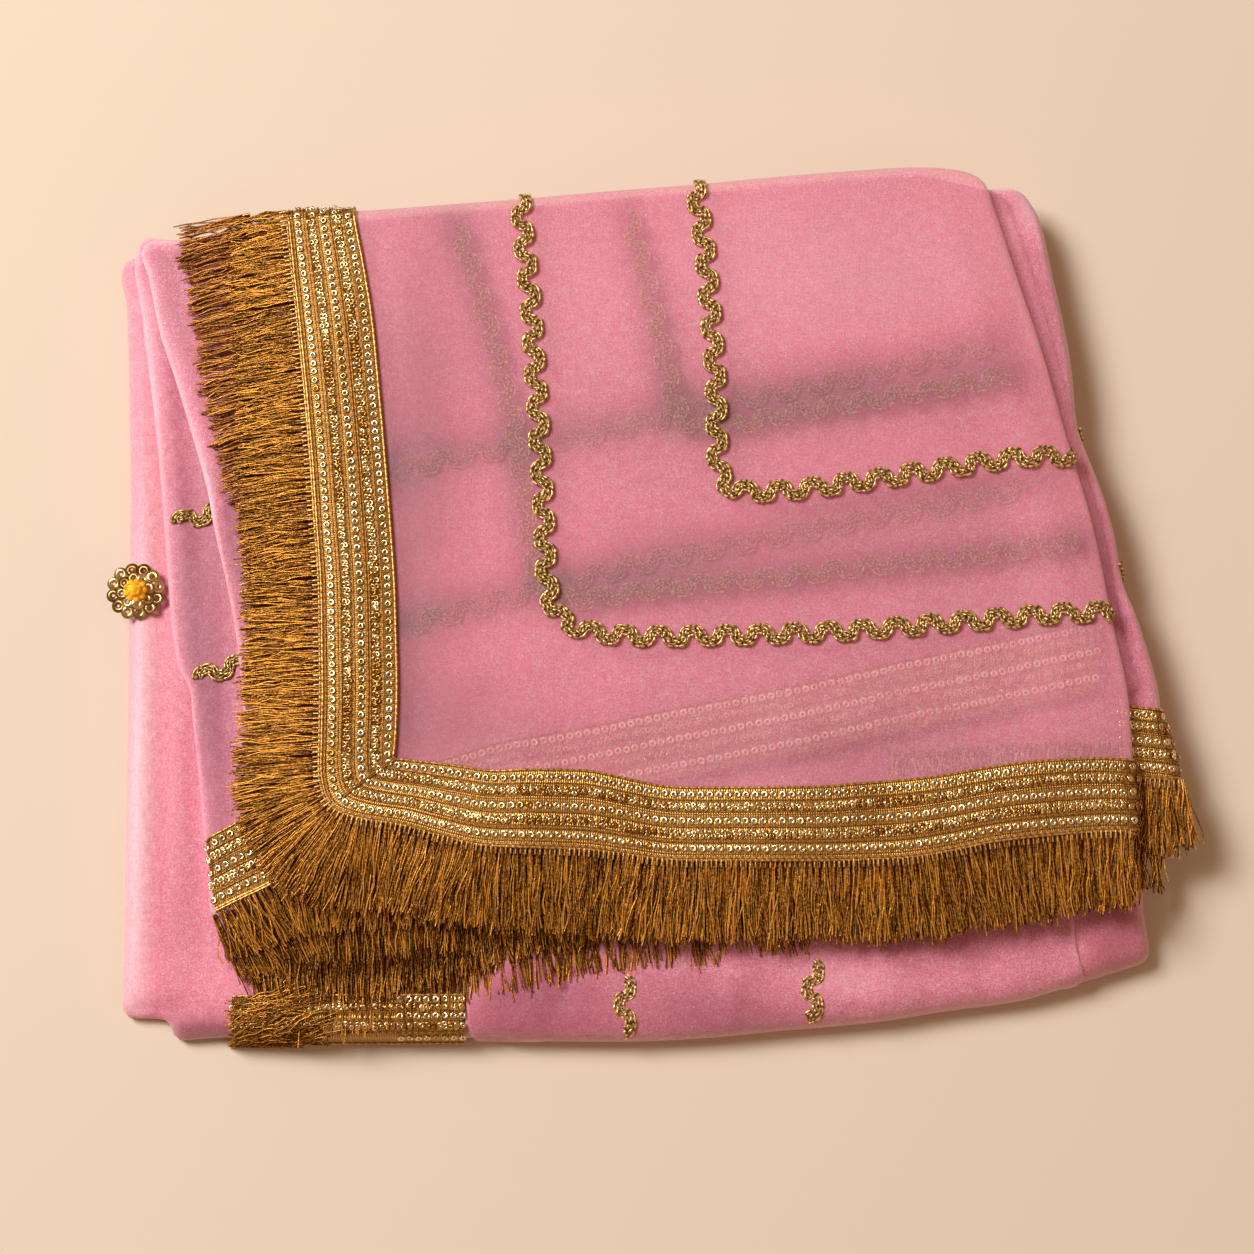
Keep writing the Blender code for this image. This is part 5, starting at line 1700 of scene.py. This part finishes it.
@dataclass
class SequinFlower:
    """A sequin flower of two tiers round a cluster of amber glass beads."""

    layer: Layer
    kit: TrimKit
    glass: bpy.types.Material
    petal: bpy.types.Material
    x: float = -174.9
    y: float = 4.6
    seed: int = 11
    around: int = 8

    def tier(
        self, count: int, reach: float, height: float, size: float, hole: float, lean: float
    ) -> bpy.types.Object:
        """One ring of petals, each a punched sequin that leans out."""
        angle = np.arange(count) * 2.0 * math.pi / count + 0.2
        out = np.column_stack((np.cos(angle), np.sin(angle), np.zeros(count)))
        spots = np.array((self.x, self.y, height)) + out * reach
        spots[:, 2] += 0.35 * np.sin(angle * 3.0)
        up = out * math.sin(math.radians(lean)) + np.array((0.0, 0.0, math.cos(math.radians(lean))))
        along = np.column_stack((-out[:, 1], out[:, 0], np.zeros(count)))
        tone = np.random.default_rng(self.seed + count).random(count) ** 1.3
        return self.kit.sequins.sew(spots, up, along, tone, Disc(size, hole, 16, 14.0, 0.2), self.petal)

    def beads(self, base: float) -> bpy.types.Object:
        """The bead cluster: a faceted dome with smaller beads round it."""
        balls = [(0.0, 0.0, 1.3, 2.7)]
        for k in range(9):
            angle = 2.0 * math.pi * k / 9.0
            balls.append((3.0 * math.cos(angle), 3.0 * math.sin(angle), 0.7, 1.2))
        for k in range(6):
            angle = 2.0 * math.pi * (k + 0.4) / 6.0
            balls.append((1.5 * math.cos(angle), 1.5 * math.sin(angle), 2.5, 0.95))
        balls.append((0.1, 0.0, 3.2, 0.95))
        around, rings = self.around, ((-0.6, 0.8), (0.1, 1.0), (0.7, 0.72), (0.96, 0.3))
        points, faces = [], []
        for x, y, z, radius in balls:
            first = len(points)
            for rise, wide in rings:
                for k in range(around):
                    angle = 2.0 * math.pi * (k + 0.5 * (rise > 0.0)) / around
                    points.append((
                        self.x + x + radius * wide * math.cos(angle),
                        self.y + y + radius * wide * math.sin(angle), base + z + radius * rise,
                    ))
            faces.append(tuple(first + k for k in reversed(range(around))))
            for low in range(first, len(points) - around, around):
                for k in range(around):
                    a, b = low + k, low + (k + 1) % around
                    faces.append((a, b, b + around, a + around))
            faces.append(tuple(range(len(points) - around, len(points))))
        cluster = make_mesh("flower_beads", np.array(points), faces, self.glass)
        cluster.data.shade_flat()
        return cluster

    def build(self) -> None:
        """Builds the petals and the beads."""
        base = float(self.layer.on(np.array(((self.x + 5.0, self.y),)))[0][0, 2]) + 0.5
        tiers = [
            self.tier(12, 7.6, base + 0.9, 2.35, 0.5, 6.0),
            self.tier(8, 4.6, base + 1.8, 2.2, 0.45, 16.0),
        ]
        join("flower_tiers", tiers, Slot.PETAL, "flower_petals")
        hand_over(self.beads(base + 1.6), Slot.BEAD, "flower_bead")


@dataclass
class PhotoTable:
    """The pale table, the studio light and the camera that looks steeply down from the front."""

    target: tuple[float, float, float] = (-3.6, -11.4, 18.0)
    elevation: float = 79.0
    distance: float = 1050.0
    lens: float = 90.43
    half: float = 2.6

    def floor(self) -> None:
        """Lays the table under the stack."""
        table, half = bpy.data.meshes.new("table"), self.half
        corners = [(-half, -half, 0.0), (half, -half, 0.0), (half, half, 0.0), (-half, half, 0.0)]
        table.from_pydata(corners, [], [(0, 1, 2, 3)])
        table.materials.append(TableTop("painted_board", "#DFD1BE", "#D9BD9E").build())
        show("table", table)

    def softbox(
        self, name: str, place: tuple[float, float, float], wide: float, power: float, tint: str
    ) -> None:
        """Hangs one soft lamp that faces the stack.

        Args:
            name: Name of the lamp.
            place: Where it hangs, in metres.
            wide: Side of the lamp in metres.
            power: Its power in watts.
            tint: Its colour.
        """
        lamp = bpy.data.lights.new(name, "AREA")
        lamp.shape = "SQUARE"
        lamp.size = wide
        lamp.energy = power
        lamp.color = linear(tint)[:3]
        body = show(name, lamp)
        body.location = place
        body.rotation_euler = (-Vector(place)).to_track_quat("-Z", "Y").to_euler()

    def light(self) -> None:
        """Sets a warm key from the back left, a weak fill and an even surround."""
        self.softbox("key", (-1.42, 0.84, 1.89), 1.08, 72.0, "#FFFDFC")
        self.softbox("fill", (1.3, -0.9, 1.5), 1.6, 4.8, "#FFE8D2")
        world = bpy.data.worlds.new("studio")
        world.use_nodes = True
        back = world.node_tree.nodes["Background"]
        back.inputs["Color"].default_value = linear("#FFCA98")
        back.inputs["Strength"].default_value = 0.26
        bpy.context.scene.world = world
        bpy.context.scene.view_settings.view_transform = "Standard"

    def camera(self) -> None:
        """Sets the camera at the photograph's angle."""
        eye = bpy.data.cameras.new("camera")
        eye.sensor_width = 36.0
        eye.lens = self.lens
        eye.clip_start = 0.05
        body = show("camera", eye)
        rise = math.radians(self.elevation)
        away = Vector((0.0, -math.cos(rise), math.sin(rise))) * self.distance
        body.location = (Vector(self.target) + away) * MM
        body.rotation_euler = (-away).to_track_quat("-Z", "Y").to_euler()
        bpy.context.scene.camera = body


@dataclass
class DupattaStole:
    """The whole stole: its layers, borders, braids, fringes and flower."""

    third_level: float = 3.0
    fold_level: float = 5.4
    second_level: float = 7.3
    top_level: float = 9.9

    def __post_init__(self) -> None:
        """Lays out the layers and mixes the finishes."""
        self.core = Layer(CORE_ROWS, 0.0, 6.0, CORE_CREASES, share=True)
        self.third = Layer(THIRD_ROWS, self.third_level, 3.0, THIRD_CREASES)
        self.fold = Layer(FOLD_ROWS, self.fold_level, 2.0, FOLD_CREASES)
        self.second = Layer(SECOND_ROWS, self.second_level, 2.5, SECOND_CREASES)
        self.top = Layer(TOP_ROWS, self.top_level, 4.0, TOP_CREASES)
        self.kit = TrimKit(
            lurex=LurexGround("woven_lurex_ribbon", "#E8B868", "#906426").build(),
            foil=SequinFoil("gold_mirror_sequin", "#FFEABC", "#BC883E", 0.24, 0.96).build(),
            glitter=SequinFoil("gold_glitter_sequin", "#FFE4A8", "#B07C36", 0.3).build(),
            piping=GoldThread("gold_corded_yarn", "#F4C676", "#9A6424", 0.7, 0.36).build(),
            seam=GoldThread("gold_ribbed_yarn", "#C88C3C", "#74481A", 0.6, 0.42).build(),
            braid=GoldThread("gold_russia_braid", "#FAD488", "#5E4214", 0.6, 0.34).build(),
            # A paler, duller braid finish for what lies under the sheer cloth: painted light in place of the
            # light the cloth scatters onto it
            veiled=GoldThread("gold_braid_under_cloth_painted_light", "#FFDEA8", "#8C623A", 0.1, 0.6).build(),
            thread=GoldThread("gold_metallised_fringe", "#FAB24A", "#603408", 0.6, 0.32).build(),
            shaded=GoldThread("gold_fringe_in_shade", "#EEA850", "#7C3E18", 0.5, 0.34).build(),
        )

    def cloth(self) -> None:
        """Builds the sheets of organza from the bottom up."""
        sheer = Organza("nylon_organza_single", "#FF88A6", "#A46878", "#FFC6D6", 0.57).build()
        inner = Organza("nylon_organza_inner", "#FF9CB6", "#CF7E9A", "#FFC6D2", 0.16).build()
        folded = Organza("nylon_organza_folded", "#DE7490", "#984860", "#F4C6D2", 1.0, 0.7).build()
        deep = Organza("nylon_organza_many_deep", "#EC7894", "#9C4A5C", "#FFD4DC", 1.0, 0.7).build()
        HiddenFolds(self.core, deep).build()
        ClothLayer("organza_third_layer", self.third, folded, 4.0, THIRD_SHADES).build(
            "cloth_third_layer", "hidden_folds")
        ClothLayer("organza_left_fold", self.fold, folded, 3.5, FOLD_SHADES).build(
            "cloth_left_fold", "organza_third_layer")
        ClothLayer("organza_second_layer", self.second, inner, 4.0, rim=0.0, fold_shade=0.0).build(
            "cloth_second_layer", "organza_third_layer")
        FrontTurn(self.core, folded).build()
        ClothLayer("organza_top_layer", self.top, sheer, 3.0, TOP_SHADES, HIDDEN_BRAID_SHADOWS, 0.3, 0.1).build(
            "cloth_top_layer", "organza_second_layer")

    def borders(self) -> None:
        """Builds the sequin borders."""
        # Paler, duller border finishes under the top sheet: painted light in place of the light the sheer
        # cloth scatters onto them
        veiled = replace(
            self.kit,
            lurex=LurexGround("lurex_ribbon_under_cloth_painted_light", "#CC9262", "#7E4C2C", 0.2).build(),
            foil=SequinFoil("sequin_under_cloth_painted_light", "#FFE2BE", "#E4B888", 0.4, 0.3).build(),
            glitter=SequinFoil("glitter_under_cloth_painted_light", "#EEC492", "#B0804E", 0.4, 0.3).build(),
        )
        for name, layer, ladder, kit, own, nodes in (
            ("top", self.top, TOP_BORDER, self.kit, {"mitre": TOP_MITRE}, ["border_top"]),
            ("second", self.second, SECOND_BORDER, veiled,
             {"lift": 0.12, "ribs": (), "ring": Disc(1.35, 0.42, 12, 9.0), "seed": 5}, ["border_second"]),
            ("third", self.third, THIRD_BORDER, self.kit, {"lift": 0.45, "seed": 7}, ["border_third"]),
            ("third_left", self.third, THIRD_LEFT_BORDER, self.kit, {"lift": 0.45, "seed": 8}, []),
            ("lowest", self.core, LOWEST_BORDER, self.kit,
             {"lift": 1.2, "bare_until": -86.0, "seed": 9}, ["border_lowest"]),
        ):
            SequinBorder(f"sequin_border_{name}", layer, ladder, kit, **own).build(*nodes)

    def braids(self) -> None:
        """Builds the wavy braids. Those under the sheer layer get a paler, duller finish: painted light in
        place of the light that the cloth scatters onto them.
        """
        kit = self.kit
        for name, layer, path, hidden in (
            ("top_outer", self.top, TOP_OUTER_BRAID, False), ("top_inner", self.top, TOP_INNER_BRAID, False),
            ("second_outer", self.second, SECOND_OUTER_BRAID, True),
            ("second_inner", self.second, SECOND_INNER_BRAID, True),
            ("third_upper", self.third, THIRD_UPPER_BRAID, True),
            ("third_lower", self.third, THIRD_LOWER_BRAID, True),
            ("front_left", self.core, FRONT_LEFT_BRAID, False),
            ("front_right", self.core, FRONT_RIGHT_BRAID, False),
        ):
            braid = WavyBraid(f"wavy_braid_{name}", layer, path, kit, kit.veiled if hidden else kit.braid)
            if hidden:
                braid.lift, braid.bare_until, braid.step, braid.sides = 0.7, -140.0, 0.6, 4
            braid.build(f"braid_{name}")
        WavyBraid(
            "wavy_braid_front_veiled", self.core, FRONT_VEILED_BRAID, kit, kit.veiled, lift=0.3, cord=0.3
        ).build()
        for name, path in (("upper", RIGHT_UPPER_BIT), ("lower", RIGHT_LOWER_BIT)):
            WavyBraid(
                f"wavy_braid_right_{name}", self.third, path, kit, kit.braid,
                lift=0.5, swing=0.2, bulge=0.0, half_band=1.1,
            ).build()

    def fringes(self) -> None:
        """Builds the brush fringes."""
        kit = self.kit
        left_tiers = (Tier(10, bare=8.0), Tier(10, shorter=8.0, higher=1.5, tone=0.08))
        front_tiers = (Tier(10, bare=8.0), Tier(10, shorter=8.5, higher=1.2, bare=8.0))
        for name, rows, levels, tiers, finish in (
            ("top", TOP_FRINGE, (10.7, 9.9, 9.0), (Tier(17),), kit.thread),
            ("second", SECOND_FRINGE, (8.0, 6.5), (Tier(10),), kit.shaded),
            ("third_left", THIRD_FRINGE, (3.8, 2.4), left_tiers, kit.thread),
            ("third_right", THIRD_RIGHT_FRINGE, (3.8, 2.6), (Tier(17),), kit.thread),
            ("lower", LOWER_FRINGE, (0.95, 0.95), front_tiers, kit.thread),
            ("lower_right", LOWER_RIGHT_FRINGE, (0.95, 0.95), (Tier(14),), kit.thread),
        ):
            fringe = BrushFringe(f"brush_fringe_{name}", rows, levels, kit, len(name) * 7, tiers, finish)
            fringe.build(f"fringe_{name}")
        BrushFringe(
            "brush_fringe_second_veiled", VEILED_FRINGE, (4.2, 3.8), kit, 5, (Tier(7),), kit.veiled
        ).build()
        SideSweep(self.core, kit).build()

    def flower(self) -> None:
        """Builds the sequin flower."""
        glass = AmberGlass("pressed_amber_glass", "#FFD03A", "#F2A018").build()
        petal = SequinFoil("gold_petal_sequin", "#FFDE9C", "#7E5826", 0.3).build()
        SequinFlower(self.core, self.kit, glass, petal).build()


def main() -> None:
    """Builds the stole, its table, light and camera."""
    logging.basicConfig(level=logging.INFO, format="%(name)s %(message)s")
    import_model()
    table = PhotoTable()
    table.camera()
    table.floor()
    table.light()
    stole = DupattaStole()
    stole.cloth()
    stole.borders()
    stole.braids()
    stole.fringes()
    stole.flower()


if __name__ == "__main__":
    main()
